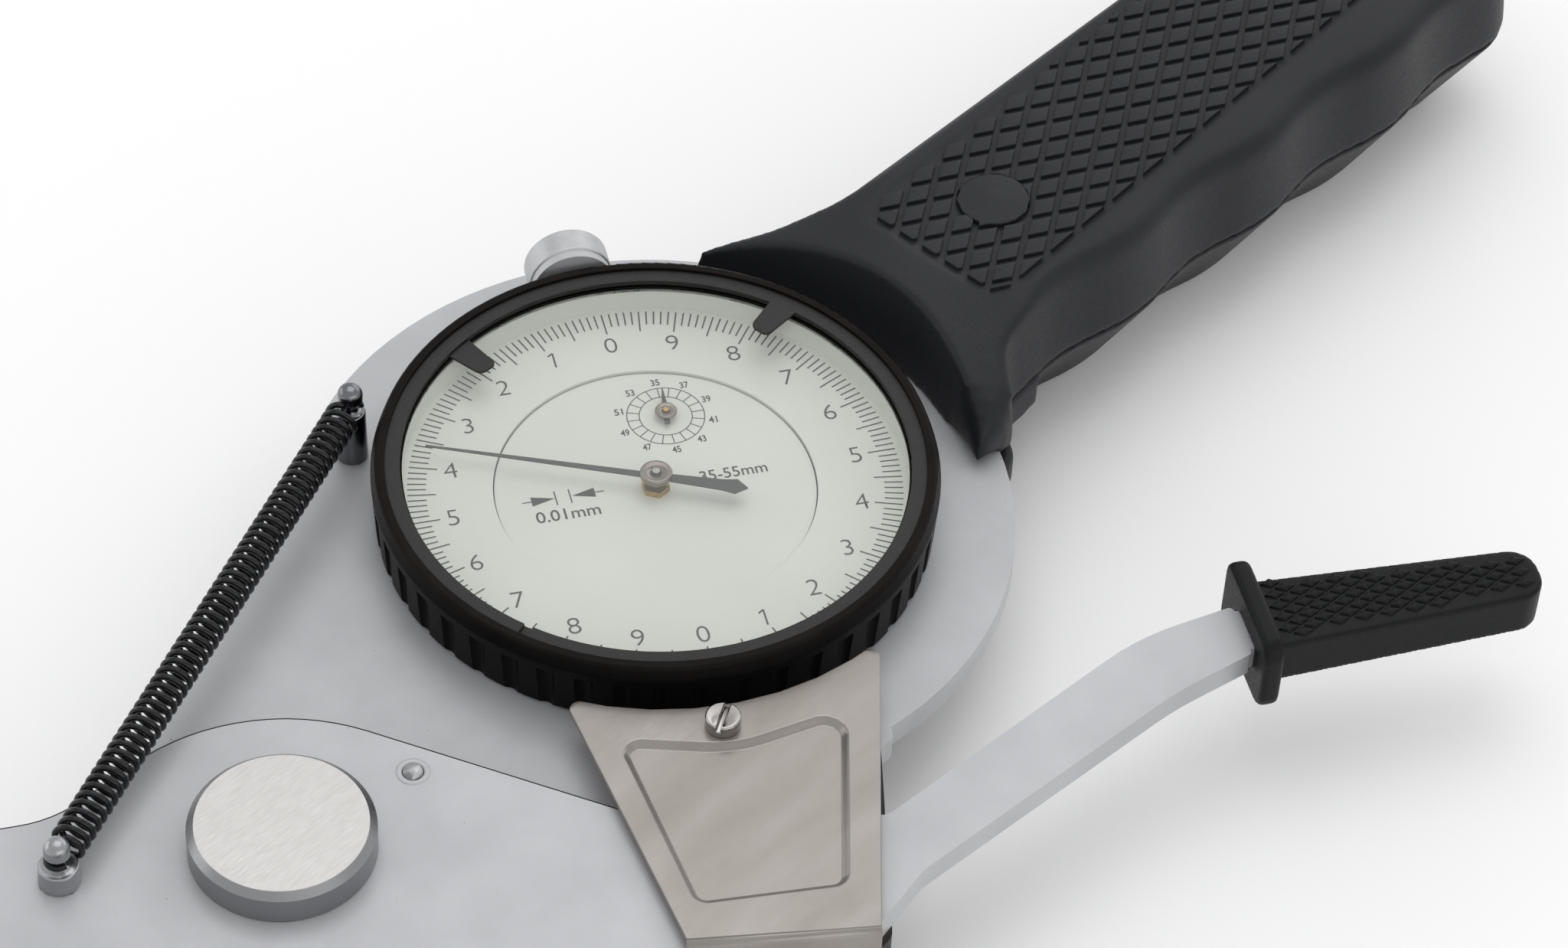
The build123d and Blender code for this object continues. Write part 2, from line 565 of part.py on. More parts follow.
# Main hand, a thin blade under a turned hub
blade = outline(
    (0, -HAND_TAIL, 0.1),
    (1.05, -HAND_TAIL + 1.3, 0.2),
    (0.75, -HAND_TAIL + 2.9, 0.5),
    (HAND_WIDTH / 2, 2.0, 0),
    (0.12, HAND_LENGTH, 0),
    (-0.12, HAND_LENGTH, 0),
    (-HAND_WIDTH / 2, 2.0, 0),
    (-0.75, -HAND_TAIL + 2.9, 0.5),
    (-1.05, -HAND_TAIL + 1.3, 0.2),
)
HUB_NECK = 0.75
blade = blade + Circle(HUB_RADIUS - 0.3) - Circle(HUB_NECK)
save("main_hand", in_dial(Rot(0, 0, HAND_ANGLE) * prism(blade, HAND_HEIGHT, HAND_HEIGHT + HAND_SHEET)))
hub_top = HAND_HEIGHT + HAND_SHEET + 0.7
hub = turned(
    (ARBOR_RADIUS, inner_dial_top + 0.9, 0),
    (HUB_NECK + 0.2, inner_dial_top + 0.9, 0),
    (HUB_NECK + 0.05, HAND_HEIGHT, 0),
    (HUB_NECK, HAND_HEIGHT, 0),
    (HUB_NECK, HAND_HEIGHT + HAND_SHEET, 0),
    (HUB_RADIUS, HAND_HEIGHT + HAND_SHEET, 0.2),
    (HUB_RADIUS, hub_top, 0.3),
    (ARBOR_RADIUS, hub_top, 0),
)
save("main_hand_hub", hub)

# Small hand of the counter, with its own hub
SMALL_HUB = 1.2
small_blade = outline(
    (0.3, -1.8, 0),
    (0.3, 1.0, 0),
    (0.06, SMALL_HAND_LENGTH, 0),
    (-0.06, SMALL_HAND_LENGTH, 0),
    (-0.3, 1.0, 0),
    (-0.3, -1.8, 0),
)
small_blade = small_blade + Circle(SMALL_HUB - 0.3) - Circle(0.5)
small_hand = Rot(0, 0, SMALL_HAND_ANGLE) * prism(small_blade, SMALL_HAND_HEIGHT, SMALL_HAND_HEIGHT + 0.1)
save("small_hand", in_dial(Pos(*COUNTER_DIAL) * small_hand))
small_hub = turned(
    (COUNTER_ARBOR_RADIUS, inner_dial_top + 0.1, 0),
    (0.5, inner_dial_top + 0.1, 0),
    (0.5, SMALL_HAND_HEIGHT + 0.1, 0),
    (SMALL_HUB, SMALL_HAND_HEIGHT + 0.1, 0),
    (SMALL_HUB, SMALL_HAND_HEIGHT + 0.45, 0.2),
    (COUNTER_ARBOR_RADIUS, SMALL_HAND_HEIGHT + 0.45, 0),
    at=COUNTER_DIAL,
)
save("small_hand_hub", in_dial(small_hub))

# Cover: pressed sheet with a recessed panel, on a spacer
COVER_ARC = 31.8
cover_face = outline(
    (17.6, -26.6, 1.8),
    (7.9, -63.8, 0.8),
    (-13.3, -61.0, 0.8),
    (-11.8, -57.0, 12.0),
    (-16.3, -26.0, 1.5),
    (0.0, -20.0, 0),
)
cover_face -= Circle(COVER_ARC)
panel_floor = outline(
    (10.9, -35.8, 1.5),
    (5.6, -56.5, 1.2),
    (-8.5, -55.7, 0.8),
    (-11.2, -35.0, 1.2),
    (-0.6, -37.4, 14.0),
)
cover_low = COVER_TOP - COVER_SHEET
cover = prism(cover_face, cover_low, COVER_TOP)
dish = Pos(0, 0, cover_low - COVER_RECESS) * extrude(offset(panel_floor, 0.4), amount=COVER_RECESS, taper=-35)
cover += dish
cover -= Pos(0, 0, COVER_TOP - COVER_RECESS) * extrude(panel_floor, amount=COVER_RECESS, taper=-35)
flap_length = hypot(21.2, 2.8)
flap = Pos(-2.7, -62.4) * Rot(0, 0, -degrees(atan2(2.8, 21.2))) * Rectangle(
    flap_length - 1.6, COVER_SHEET, align=(Align.CENTER, Align.MIN))
cover += prism(flap, COVER_TOP - COVER_FLAP, cover_low)
cover -= disc(1.1, cover_low, COVER_TOP, at=COVER_SCREW)
save("linkage_cover", in_dial(cover))
save("cover_spacer", in_dial(disc(SPACER_RADIUS, PLATE_TOP, cover_low, 1.1, at=COVER_SCREW)))
screw = turned((0, COVER_TOP, 0), (COVER_SCREW_HEAD, COVER_TOP, 0), (COVER_SCREW_HEAD, COVER_TOP + 1.5, 0.25),
               (0, COVER_TOP + 1.5, 0))
screw -= Rot(0, 0, 60) * prism(Rectangle(5.0, 0.6), COVER_TOP + 0.8, COVER_TOP + 1.6)
screw += disc(1.1, PLATE_TOP, COVER_TOP)
save("cover_screw", in_dial(Pos(*COVER_SCREW) * screw))

# Handle: two moulded halves over the tang, waisted behind the dial and grooved for the fingers
HANDLE_END = TANG_LENGTH + 15.0
UPPER_INSET = 1.2
LOWER_INSET = 6.6
FRONT_WALL = 34.0
FRONT_LEAN = 2.1
LOWER_FRONT = 35.2
ROOF_RADIUS = 53.0
ROOF_SLOPE = 7.9
ROOF_MEETS_TOP = 50.0
FINGER_SIDE = -14.2
THUMB_SIDE = 13.6
HORN_SPREAD = 6.0
HORN_BASE = 7.6
UPPER_SHOULDER = 2.5


def handle_section(height, inset, spread=0.0):
    """The handle's plan at one height: sides drawn in by the inset, horns spread, fingers waved."""
    corners = [
        (24.0, -15.0 + inset - spread, 0),
        (34.6, -15.0 + inset - spread, 2.5),
        (38.8, FINGER_SIDE - 1.2 + inset, 6.0),
    ]
    for n in range(2 * FINGER_GROOVES - 1):
        x = FINGER_FIRST + n * FINGER_PITCH / 2
        side = FINGER_SIDE - 0.9 - 0.014 * (x - FINGER_FIRST)
        corners.append((x, side + inset + (FINGER_WAVE if n % 2 == 0 else -FINGER_WAVE), FINGER_BLEND))
    corners += [
        (HANDLE_END - inset / 2, FINGER_SIDE - 2.4 + inset, 8.0),
        (HANDLE_END - inset / 2, THUMB_SIDE + 1.3 - inset, 8.0),
        (42.0, THUMB_SIDE - inset, 15.0),
        (34.5, THUMB_SIDE + 3.3 - inset, 12.0),
        (29.0, 15.6 - inset + spread, 2.5),
        (24.0, 15.6 - inset + spread, 0),
    ]
    return Pos(0, 0, height) * outline(*corners)


def shoulder_edges(solid):
    """The edges round the handle's flat top, apart from the front."""
    return solid.faces().filter_by(Axis.Z).sort_by(Axis.Z)[-1].edges().filter_by(lambda edge: edge.center().X > 26)


upper = loft([handle_section(HANDLE_PARTING, 0, HORN_SPREAD),
              handle_section(HANDLE_TOP, UPPER_INSET, HORN_SPREAD)], ruled=True)
upper = fillet(shoulder_edges(upper), UPPER_SHOULDER)
upper &= Pos(ROOF_MEETS_TOP, 0, HANDLE_TOP + 0.9 - ROOF_RADIUS) * Rot(0, 90 - ROOF_SLOPE, 0) * Cylinder(
    ROOF_RADIUS, 300
)
upper -= Pos(0, 0, HANDLE_PARTING) * Cone(
    FRONT_WALL, FRONT_WALL + FRONT_LEAN, HANDLE_TOP - HANDLE_PARTING, align=(Align.CENTER, Align.CENTER, Align.MIN)
)
upper -= prism(plate_face, HANDLE_PARTING, PLATE_TOP)
panel = outline(
    (40.9, 9.3, 1.5),
    (41.2, -9.9, 1.2),
    (43.6, -11.3, 1.5),
    (124.0, -6.8, 4.0),
    (124.0, 13.4, 4.0),
)
upper -= prism(panel, HANDLE_TOP - HANDLE_PANEL, HANDLE_TOP + 1)
lower = loft([handle_section(0, LOWER_INSET), handle_section(HANDLE_PARTING, 0)], ruled=True)
horns = prism(handle_section(0, 0, HORN_SPREAD), HORN_BASE, HANDLE_PARTING)
lower += horns & prism(Pos(36.0, 0) * Rectangle(20.0, 60.0), HORN_BASE, HANDLE_PARTING)
lower -= disc(LOWER_FRONT, 0, HANDLE_PARTING)
lower -= prism(plate_face, PLATE_LOW, HANDLE_PARTING)
SCREW_HEAD = 3.4
SCREW_HEAD_LOW = 18.0
PLUG_LOW = HANDLE_TOP - 2.5
for x in HANDLE_SCREWS_X:
    upper -= disc(HANDLE_SCREW_RADIUS, HANDLE_PARTING, SCREW_HEAD_LOW, at=(x, 0))
    upper -= disc(PLUG_RADIUS, SCREW_HEAD_LOW, HANDLE_TOP + 1, at=(x, 0))
    lower -= disc(HANDLE_SCREW_RADIUS + 1.0, 2.0, PLATE_LOW, at=(x, 0))
    lower -= disc(HANDLE_SCREW_RADIUS, PLATE_LOW, HANDLE_PARTING, at=(x, 0))
save("handle_upper", upper)
save("handle_lower", lower)
handle_screws = Part()
handle_inserts = Part()
handle_plugs = Part()
plug = turned((0, PLUG_LOW, 0), (PLUG_RADIUS, PLUG_LOW, 0), (PLUG_RADIUS, HANDLE_TOP - 0.1, 0.3),
              (0, HANDLE_TOP + 0.25, 0))
for x in HANDLE_SCREWS_X:
    handle_screws += disc(HANDLE_SCREW_RADIUS, 3.0, SCREW_HEAD_LOW, at=(x, 0))
    handle_screws += disc(SCREW_HEAD, SCREW_HEAD_LOW, SCREW_HEAD_LOW + 2.8, at=(x, 0)) - Pos(
        x, 0, SCREW_HEAD_LOW + 1.3) * prism(RegularPolygon(1.7, 6), 0, 2.0)
    handle_inserts += disc(HANDLE_SCREW_RADIUS + 1.0, 2.0, PLATE_LOW, HANDLE_SCREW_RADIUS, at=(x, 0))
    handle_plugs += Pos(x, 0, 0) * plug
save("handle_screws", handle_screws)
save("handle_inserts", handle_inserts)
save("handle_plugs", handle_plugs)

# Moving arm: hub round the pivot, lever under the cover and out to the grip, root of the leg
LEVER_TANG_END = 82.0
arm_face = outline(
    (-86.0, -31.1, 9.0),
    (-68.8, -31.1, 12.0),
    (-48.0, -18.1, 22.0),
    (-3.0, -49.0, 4.0),
    (drive_pin[0] - 3.6, drive_pin[1] + 3.2, 3.0),
    (drive_pin[0] + 3.2, drive_pin[1] + 3.2, 3.0),
    (11.0, -49.2, 2.0),
    (44.3, -30.8, 30.0),
    (GRIP_START - 2.6, GRIP_MIDDLE + 2.7, 0.5),
    (GRIP_START - 2.6, GRIP_MIDDLE + 2.0, 0),
    (LEVER_TANG_END, GRIP_MIDDLE + 1.6, 1.0),
    (LEVER_TANG_END, GRIP_MIDDLE - 2.0, 1.0),
    (GRIP_START - 2.6, GRIP_MIDDLE - 3.4, 0),
    (GRIP_START - 2.6, GRIP_MIDDLE - 4.0, 0.5),
    (46.0, -38.8, 40.0),
    (14.3, -55.9, 6.0),
    (7.6, -62.2, 3.0),
    (-15.0, -60.0, 8.0),
    (-41.0, -68.0, 12.0),
    (-64.0, -74.0, 14.0),
    (-82.0, -68.0, 14.0),
)
arm_holes = disc(PIVOT_BUSH, ARM_LOW, ARM_TOP, at=PIVOT)
arm_holes += disc(LEG_STUD, ARM_LOW, ARM_TOP, at=LEG_CAP)
arm_holes += disc(STOP_PIN_RADIUS, ARM_LOW, ARM_TOP, at=STOP_PIN)
arm_holes += disc(DRIVE_PIN_RADIUS, ARM_LOW, ARM_TOP, at=drive_pin)
save("moving_arm", in_dial(prism(arm_face, ARM_LOW, ARM_TOP) - arm_holes))
save("arm_bush", in_dial(disc(PIVOT_BUSH, ARM_LOW, ARM_TOP, PIVOT_SHAFT + RUNNING_FIT, at=PIVOT)))
save("drive_pin", in_dial(disc(DRIVE_PIN_RADIUS, DRIVE_PIN_LOW, ARM_TOP, at=drive_pin)))
STOP_PIN_LOW = PLATE_LOW + 0.4
STOP_PIN_PROUD = 0.12
stop_pin = disc(STOP_PIN_RADIUS, STOP_PIN_LOW, ARM_TOP + STOP_PIN_PROUD, at=STOP_PIN)
save("stop_pin", in_dial(stop_pin))

# Pivot: a shaft riveted in the plate, and the turned caps over it and over the leg's stud
PIVOT_FLANGE = 7.0
shaft_low = PLATE_LOW - 2.2
shaft = disc(PIVOT_FLANGE, shaft_low, PLATE_LOW) + disc(PIVOT_SHAFT, PLATE_LOW, ARM_TOP + RUNNING_FIT)
save("pivot_shaft", in_dial(Pos(*PIVOT) * shaft))


def cap(low):
    """A turned cap with a bevelled rim, standing on one height."""
    top = ARM_TOP + CAP_HEIGHT
    return turned(
        (0, low, 0),
        (PIVOT_CAP_RADIUS, low, 0.15),
        (PIVOT_CAP_RADIUS, top - CAP_BEVEL, 0),
        (PIVOT_CAP_RADIUS - CAP_BEVEL, top, 0),
        (0, top, 0),
    )


save("pivot_cap", in_dial(Pos(*PIVOT) * cap(ARM_TOP + RUNNING_FIT)))
save("leg_cap", in_dial(Pos(*LEG_CAP) * cap(ARM_TOP)))

# Lever grip: a moulded rubber sleeve with a guard, over the lever's tang
grip_low = (ARM_LOW + ARM_TOP - GRIP_THICKNESS) / 2
grip_end = GRIP_START + GRIP_LENGTH
sleeve = outline(
    (GRIP_START - 0.5, GRIP_MIDDLE - GRIP_WIDTH / 2, 0),
    (grip_end, GRIP_MIDDLE - 0.2 - GRIP_END_WIDTH / 2, 2.9),
    (grip_end, GRIP_MIDDLE - 0.2 + GRIP_END_WIDTH / 2, 2.9),
    (GRIP_START - 0.5, GRIP_MIDDLE + GRIP_WIDTH / 2, 0),
)
grip = prism(sleeve, grip_low, grip_low + GRIP_THICKNESS)
guard = Plane.YZ * (Pos(GRIP_MIDDLE, (GUARD_LOW + GUARD_HIGH) / 2) * RectangleRounded(
    GUARD_WIDTH, GUARD_HIGH - GUARD_LOW, 2.2))
guard_blank = extrude(guard, amount=GUARD, dir=(1, 0, 0))
grip += Pos(GRIP_START - GUARD, 0, 0) * fillet(guard_blank.edges(), 0.6)
grip -= prism(arm_face, ARM_LOW, ARM_TOP)
save("lever_grip", in_dial(grip))

# Moving leg under the arm, and the fixed leg lapped under the plate, with their contacts
LEG_END = CONTACT_X - 3.6
moving_leg_low = ARM_LOW - LEG_THICKNESS
moving_leg_edge = MOVING_CONTACT_Y - 3.0
moving_leg_face = outline(
    (-84.0, 3.5, 3.0),
    (-84.0, -22.0, 4.0),
    (-103.0, -22.0, 14.0),
    (-166.0, moving_leg_edge - 7.6, 20.0),
    (LEG_END, moving_leg_edge - 7.0, 1.5),
    (LEG_END, moving_leg_edge, 1.5),
    (-160.0, moving_leg_edge - 0.8, 20.0),
    (-104.0, 5.0, 14.0),
)
leg_cap_at = to_gauge(*LEG_CAP)
moving_leg = prism(moving_leg_face, moving_leg_low, ARM_LOW) - disc(LEG_STUD, moving_leg_low, ARM_LOW, at=leg_cap_at)
LEG_PIN = (-99.0, -6.0)
LEG_PIN_RADIUS = 1.5
moving_leg -= disc(LEG_PIN_RADIUS, moving_leg_low, ARM_LOW, at=LEG_PIN)


def contact(side, leg_edge, tip):
    """A contact pin that points sideways out of a leg, ending in a ball at the tip."""
    reach = abs(tip - leg_edge)
    pin = revolve(Plane.XZ * make_face(Polyline(
        (0, -3.0), (CONTACT_RADIUS, -3.0), (CONTACT_RADIUS, reach - 1.6), (CONTACT_BALL, reach - CONTACT_BALL),
        (0, reach - CONTACT_BALL), close=True)), Axis.Z)
    pin += Pos(0, 0, reach - CONTACT_BALL) * Sphere(CONTACT_BALL)
    return Pos(CONTACT_X, leg_edge, (moving_leg_low + ARM_LOW) / 2) * Rot(-90 * side, 0, 0) * pin


fixed_leg_edge = FIXED_CONTACT_Y + 3.4
moving_contact = contact(1, moving_leg_edge, MOVING_CONTACT_Y)
fixed_contact = contact(-1, fixed_leg_edge, FIXED_CONTACT_Y)
save("moving_leg", moving_leg - moving_contact)
save("moving_contact", moving_contact)
save("leg_stud", disc(LEG_STUD, moving_leg_low, ARM_TOP, at=leg_cap_at))
save("leg_dowel", disc(LEG_PIN_RADIUS, moving_leg_low, ARM_LOW, at=LEG_PIN))
fixed_leg_low = PLATE_TOP - LEG_THICKNESS
fixed_leg_face = outline(
    (-64.0, LAP_TOP, 2.0),
    (-110.0, LAP_TOP, 30.0),
    (LEG_END, fixed_leg_edge + 7.6, 1.5),
    (LEG_END, fixed_leg_edge, 1.5),
    (-64.0, lap_low, 2.0),
)
fixed_leg = prism(fixed_leg_face, fixed_leg_low, PLATE_TOP) - prism(plate_face, PLATE_LOW, PLATE_TOP)
fixed_leg_screws = Part()
for spot in LEG_SCREW_SPOTS:
    fixed_leg -= disc(LEG_SCREW_RADIUS, fixed_leg_low, PLATE_LOW, at=spot)
    fixed_leg_screws += disc(LEG_SCREW_HEAD, PLATE_TOP - LEG_SCREW_HEAD_DEPTH, PLATE_TOP - 0.2, at=spot)
    fixed_leg_screws += disc(LEG_SCREW_RADIUS, fixed_leg_low, PLATE_TOP - LEG_SCREW_HEAD_DEPTH, at=spot)
save("fixed_leg", fixed_leg - fixed_contact)
save("fixed_leg_screws", fixed_leg_screws)
save("fixed_contact", fixed_contact)

# Return spring between its two posts, its coils drawn as ridges on one tube
POST_HEAD = 1.35
POST_NECK_LENGTH = 1.6
LOWER_POST_BASE = 2.15


def post(base, low, height, slant):
    """A turned spring post: tapered collar, neck for the spring's loop and a domed head."""
    neck_low = low + height
    neck_high = neck_low + POST_NECK_LENGTH
    return turned(
        (0, low, 0),
        (base, low, 0),
        (base - slant, neck_low, 0.2),
        (POST_NECK, neck_low, 0),
        (POST_NECK, neck_high, 0),
        (POST_HEAD, neck_high, 0.2),
        (POST_HEAD, neck_high + 1.9, 1.2),
        (0, neck_high + 2.1, 0),
    )


save("upper_spring_post", in_dial(Pos(*UPPER_POST) * post(1.75, PLATE_TOP, UPPER_POST_HEIGHT, 0.15)))
save("lower_spring_post", in_dial(Pos(*LOWER_POST) * post(LOWER_POST_BASE, ARM_TOP, LOWER_POST_HEIGHT, 0.1)))
loop_radius = POST_NECK + 0.1 + SPRING_WIRE / 2
upper_loop = Vector(*UPPER_POST, PLATE_TOP + UPPER_POST_HEIGHT + POST_NECK_LENGTH / 2)
lower_loop = Vector(*LOWER_POST, ARM_TOP + LOWER_POST_HEIGHT + POST_NECK_LENGTH / 2)
spring_axis = (lower_loop - upper_loop).normalized()
coil_start = upper_loop + spring_axis * (loop_radius + 1.2)
coil_length = (lower_loop - upper_loop).length - 2 * (loop_radius + 1.2)
coil_pitch = coil_length / SPRING_COILS
valley = SPRING_RADIUS - SPRING_WIRE / 2
ridges = [(valley, 0)]
for coil in range(SPRING_COILS):
    ridges += [(SPRING_RADIUS, (coil + 0.5) * coil_pitch), (valley, (coil + 1) * coil_pitch)]
bore = SPRING_RADIUS - SPRING_WIRE
coil_section = make_face(Polyline(*ridges, (bore, coil_length), (bore, 0), close=True))
coils = Plane(origin=coil_start, z_dir=spring_axis) * revolve(Plane.XZ * coil_section, Axis.Z)
spring = coils
for centre, reach in ((upper_loop, 1), (lower_loop, -1)):
    spring += Pos(centre.X, centre.Y, centre.Z) * Torus(loop_radius, SPRING_WIRE / 2)
    side = spring_axis.cross(Vector(0, 0, 1)).normalized() * loop_radius
    lead = Plane(origin=centre + side, z_dir=spring_axis * reach)
    spring += lead * extrude(Circle(SPRING_WIRE / 2), amount=loop_radius + 1.2 + 2 * coil_pitch)
save("return_spring", in_dial(spring))
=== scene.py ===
from math import cos, hypot, pi, radians, sin, tan

import bmesh
import bpy
from mathutils import Matrix, Quaternion, Vector


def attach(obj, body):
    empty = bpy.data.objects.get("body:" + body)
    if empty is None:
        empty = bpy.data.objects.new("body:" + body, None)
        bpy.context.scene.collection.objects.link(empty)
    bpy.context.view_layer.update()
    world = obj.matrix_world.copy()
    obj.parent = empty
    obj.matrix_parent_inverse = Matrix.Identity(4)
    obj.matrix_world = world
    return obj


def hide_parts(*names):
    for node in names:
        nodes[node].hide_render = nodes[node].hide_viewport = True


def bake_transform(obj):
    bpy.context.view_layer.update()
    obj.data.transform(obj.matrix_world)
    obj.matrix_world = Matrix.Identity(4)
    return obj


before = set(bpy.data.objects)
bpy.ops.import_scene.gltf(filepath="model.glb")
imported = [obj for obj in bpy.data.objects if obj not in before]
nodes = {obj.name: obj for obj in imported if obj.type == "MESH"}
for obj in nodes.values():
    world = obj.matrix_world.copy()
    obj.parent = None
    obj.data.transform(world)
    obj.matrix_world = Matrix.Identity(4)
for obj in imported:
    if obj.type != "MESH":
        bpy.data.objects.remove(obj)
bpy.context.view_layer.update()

# Camera: a long lens over the spring's side of the gauge, looking across the dial to the
# handle, as the photograph was taken. The picture is 2048 by 1238 with no shift.
camera = bpy.data.objects.new("camera", bpy.data.cameras.new("camera"))
bpy.context.scene.collection.objects.link(camera)
bpy.context.scene.camera = camera
camera.data.sensor_width = 36.0
camera.data.lens = 116.34
camera.location = (-0.26964, -0.25250, 0.40785)
AIM = Vector((0.010975, -0.008357, 0.0175))
CAMERA_ROLL = 3.18
camera.rotation_mode = "QUATERNION"
camera.rotation_quaternion = (AIM - camera.location).to_track_quat("-Z", "Y") @ Quaternion(
    (0, 0, 1), radians(CAMERA_ROLL)
)
camera.data.clip_start = 0.01
camera.data.clip_end = 20.0


# Studio: a matt white laminate table, bright but without a mirror of the part, under one large
# soft box. A narrower box behind the handle gives the edge highlights, and two weak fills stand
# at the spring's side and in front.
def linear(hex_colour):
    """An sRGB hex colour as linear RGBA."""
    parts = [int(hex_colour[i : i + 2], 16) / 255 for i in (1, 3, 5)]
    return [c / 12.92 if c <= 0.04045 else ((c + 0.055) / 1.055) ** 2.4 for c in parts] + [1.0]


world = bpy.data.worlds.new("studio")
bpy.context.scene.world = world
world.use_nodes = True
world.node_tree.nodes["Background"].inputs["Color"].default_value = (1, 1, 1, 1)
world.node_tree.nodes["Background"].inputs["Strength"].default_value = 0.75
bpy.context.scene.view_settings.view_transform = "Standard"

TABLE_REACH = 3.0
floor_mesh = bpy.data.meshes.new("table_top")
floor_mesh.from_pydata(
    [(x * TABLE_REACH, y * TABLE_REACH, 0) for x, y in ((-1, -1), (1, -1), (1, 1), (-1, 1))],
    [],
    [(0, 1, 2, 3)],
)
floor = bpy.data.objects.new("table_top", floor_mesh)
bpy.context.scene.collection.objects.link(floor)
white_laminate = bpy.data.materials.new("white_laminate")
white_laminate.use_nodes = True
laminate_shader = white_laminate.node_tree.nodes["Principled BSDF"]
laminate_shader.inputs["Base Color"].default_value = linear("#FCFCFC")
laminate_shader.inputs["Roughness"].default_value = 0.9
floor_mesh.materials.append(white_laminate)


def soft_box(name, at, size, watts):
    """A rectangular lamp that looks at the middle of the table."""
    light = bpy.data.objects.new(name, bpy.data.lights.new(name, "AREA"))
    bpy.context.scene.collection.objects.link(light)
    light.data.shape = "RECTANGLE"
    light.data.size, light.data.size_y = size
    light.data.energy = watts
    light.location = at
    light.rotation_mode = "QUATERNION"
    light.rotation_quaternion = (-Vector(at)).to_track_quat("-Z", "Y")


soft_box("overhead_box", (0.3, 0.2, 1.1), (0.9, 0.9), 3.0)
soft_box("back_box", (0.8, 0.1, 0.4), (0.9, 0.3), 0.9)
soft_box("left_fill", (-0.38, 0.72, 0.24), (0.7, 0.35), 0.8)
soft_box("front_fill", (-0.2, -0.75, 0.3), (0.9, 0.3), 0.8)


# Body plate, moving arm with its lever, and the two legs: laser-cut steel plate, deburred and
# sprayed with a satin silver-grey paint. The lap-jointed fixed leg is screwed under the plate.
MM = 0.001
SAME_POINT = 1e-6
HARD_EDGE = 35
NOISE_LOW = 0.3
NOISE_HIGH = 0.7


def add(tree, kind, inputs=None, **settings):
    """A node with its settings; an input is a value, or another node's output to link."""
    made = tree.nodes.new(kind)
    for name, value in settings.items():
        setattr(made, name, value)
    for name, value in (inputs or {}).items():
        socket = made.inputs[name]
        if isinstance(value, bpy.types.NodeSocket):
            tree.links.new(value, socket)
        else:
            socket.default_value = value
    return made


def finish(name, colours, clouds, gloss, grain, depth, metallic=0.0, stretch=(1, 1, 1), **sockets):
    """A material whose colour drifts in clouds, and whose gloss and relief follow a finer grain.

    Clouds, grain and depth are in millimetres, and both patterns are drawn out by the stretch.
    """
    made = bpy.data.materials.new(name)
    made.use_nodes = True
    tree = made.node_tree
    shader = tree.nodes["Principled BSDF"]
    shader.inputs["Metallic"].default_value = metallic
    for socket, value in sockets.items():
        shader.inputs[socket.replace("_", " ")].default_value = value
    here = add(tree, "ShaderNodeTexCoord").outputs["Object"]
    spot = add(tree, "ShaderNodeMapping", {"Vector": here, "Scale": stretch}).outputs["Vector"]
    coarse, fine = (
        add(
            tree,
            "ShaderNodeTexNoise",
            {"Vector": spot, "Scale": 1 / (size * MM), "Detail": 3.0},
        ).outputs["Fac"]
        for size in (clouds, grain)
    )
    spread = {"From Min": NOISE_LOW, "From Max": NOISE_HIGH}
    drift = add(tree, "ShaderNodeMapRange", {"Value": coarse, **spread})
    tint = add(
        tree,
        "ShaderNodeMix",
        {0: drift.outputs["Result"], 6: linear(colours[0]), 7: linear(colours[1])},
        data_type="RGBA",
    )
    polish = add(
        tree,
        "ShaderNodeMapRange",
        {"Value": fine, **spread, "To Min": gloss[0], "To Max": gloss[1]},
    )
    bump = add(tree, "ShaderNodeBump", {"Height": fine, "Distance": depth * MM})
    tree.links.new(tint.outputs[2], shader.inputs["Base Color"])
    tree.links.new(polish.outputs["Result"], shader.inputs["Roughness"])
    tree.links.new(bump.outputs["Normal"], shader.inputs["Normal"])
    return made, tree, shader, tint.outputs[2]


def dress(material, *names):
    """Gives CAD parts their finish."""
    for name in names:
        part = nodes[name]
        part.data.materials.clear()
        part.data.materials.append(material)


def sharp_edges(part, angle, shortest=0.0):
    """A CAD part's hard edges: each with its two ends and the two faces that meet on it."""
    corners = [tuple(round(c / SAME_POINT) for c in v.co) for v in part.data.vertices]
    faces_at = {}
    for polygon in part.data.polygons:
        for pair in polygon.edge_keys:
            faces_at.setdefault(frozenset(corners[v] for v in pair), []).append(polygon)
    for edge in part.data.edges:
        start, end = (part.data.vertices[v].co for v in edge.vertices)
        sides = faces_at.get(frozenset(corners[v] for v in edge.vertices), [])
        if len(sides) == 2 and (end - start).length > shortest * MM:
            if sides[0].normal.angle(sides[1].normal, 0) > radians(angle):
                yield edge, start, end, sides


def soften(name, width, segments=2):
    """Breaks a CAD part's hard edges over a width in millimetres, apart from shorter ones."""
    part = nodes[name]
    weights = part.data.attributes.new("bevel_weight_edge", "FLOAT", "EDGE")
    for edge, _, _, _ in sharp_edges(part, HARD_EDGE, width):
        weights.data[edge.index].value = 1.0
    weld = part.modifiers.new("weld", "WELD")
    weld.merge_threshold = SAME_POINT
    break_edges = part.modifiers.new("break_edges", "BEVEL")
    break_edges.width = width * MM
    break_edges.segments = segments
    break_edges.limit_method = "WEIGHT"
    break_edges.use_clamp_overlap = False
    even_shading = part.modifiers.new("even_shading", "WEIGHTED_NORMAL")
    even_shading.weight = 100
    part.data.shade_smooth()


def piece(name, shape, material, body):
    """A piece of its own from a mesh drawn in millimetres, which rides a body."""
    mesh = bpy.data.meshes.new(name)
    shape.to_mesh(mesh)
    shape.free()
    mesh.transform(Matrix.Scale(MM, 4))
    mesh.materials.append(material)
    made = bpy.data.objects.new(name, mesh)
    bpy.context.scene.collection.objects.link(made)
    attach(made, body)
    return made


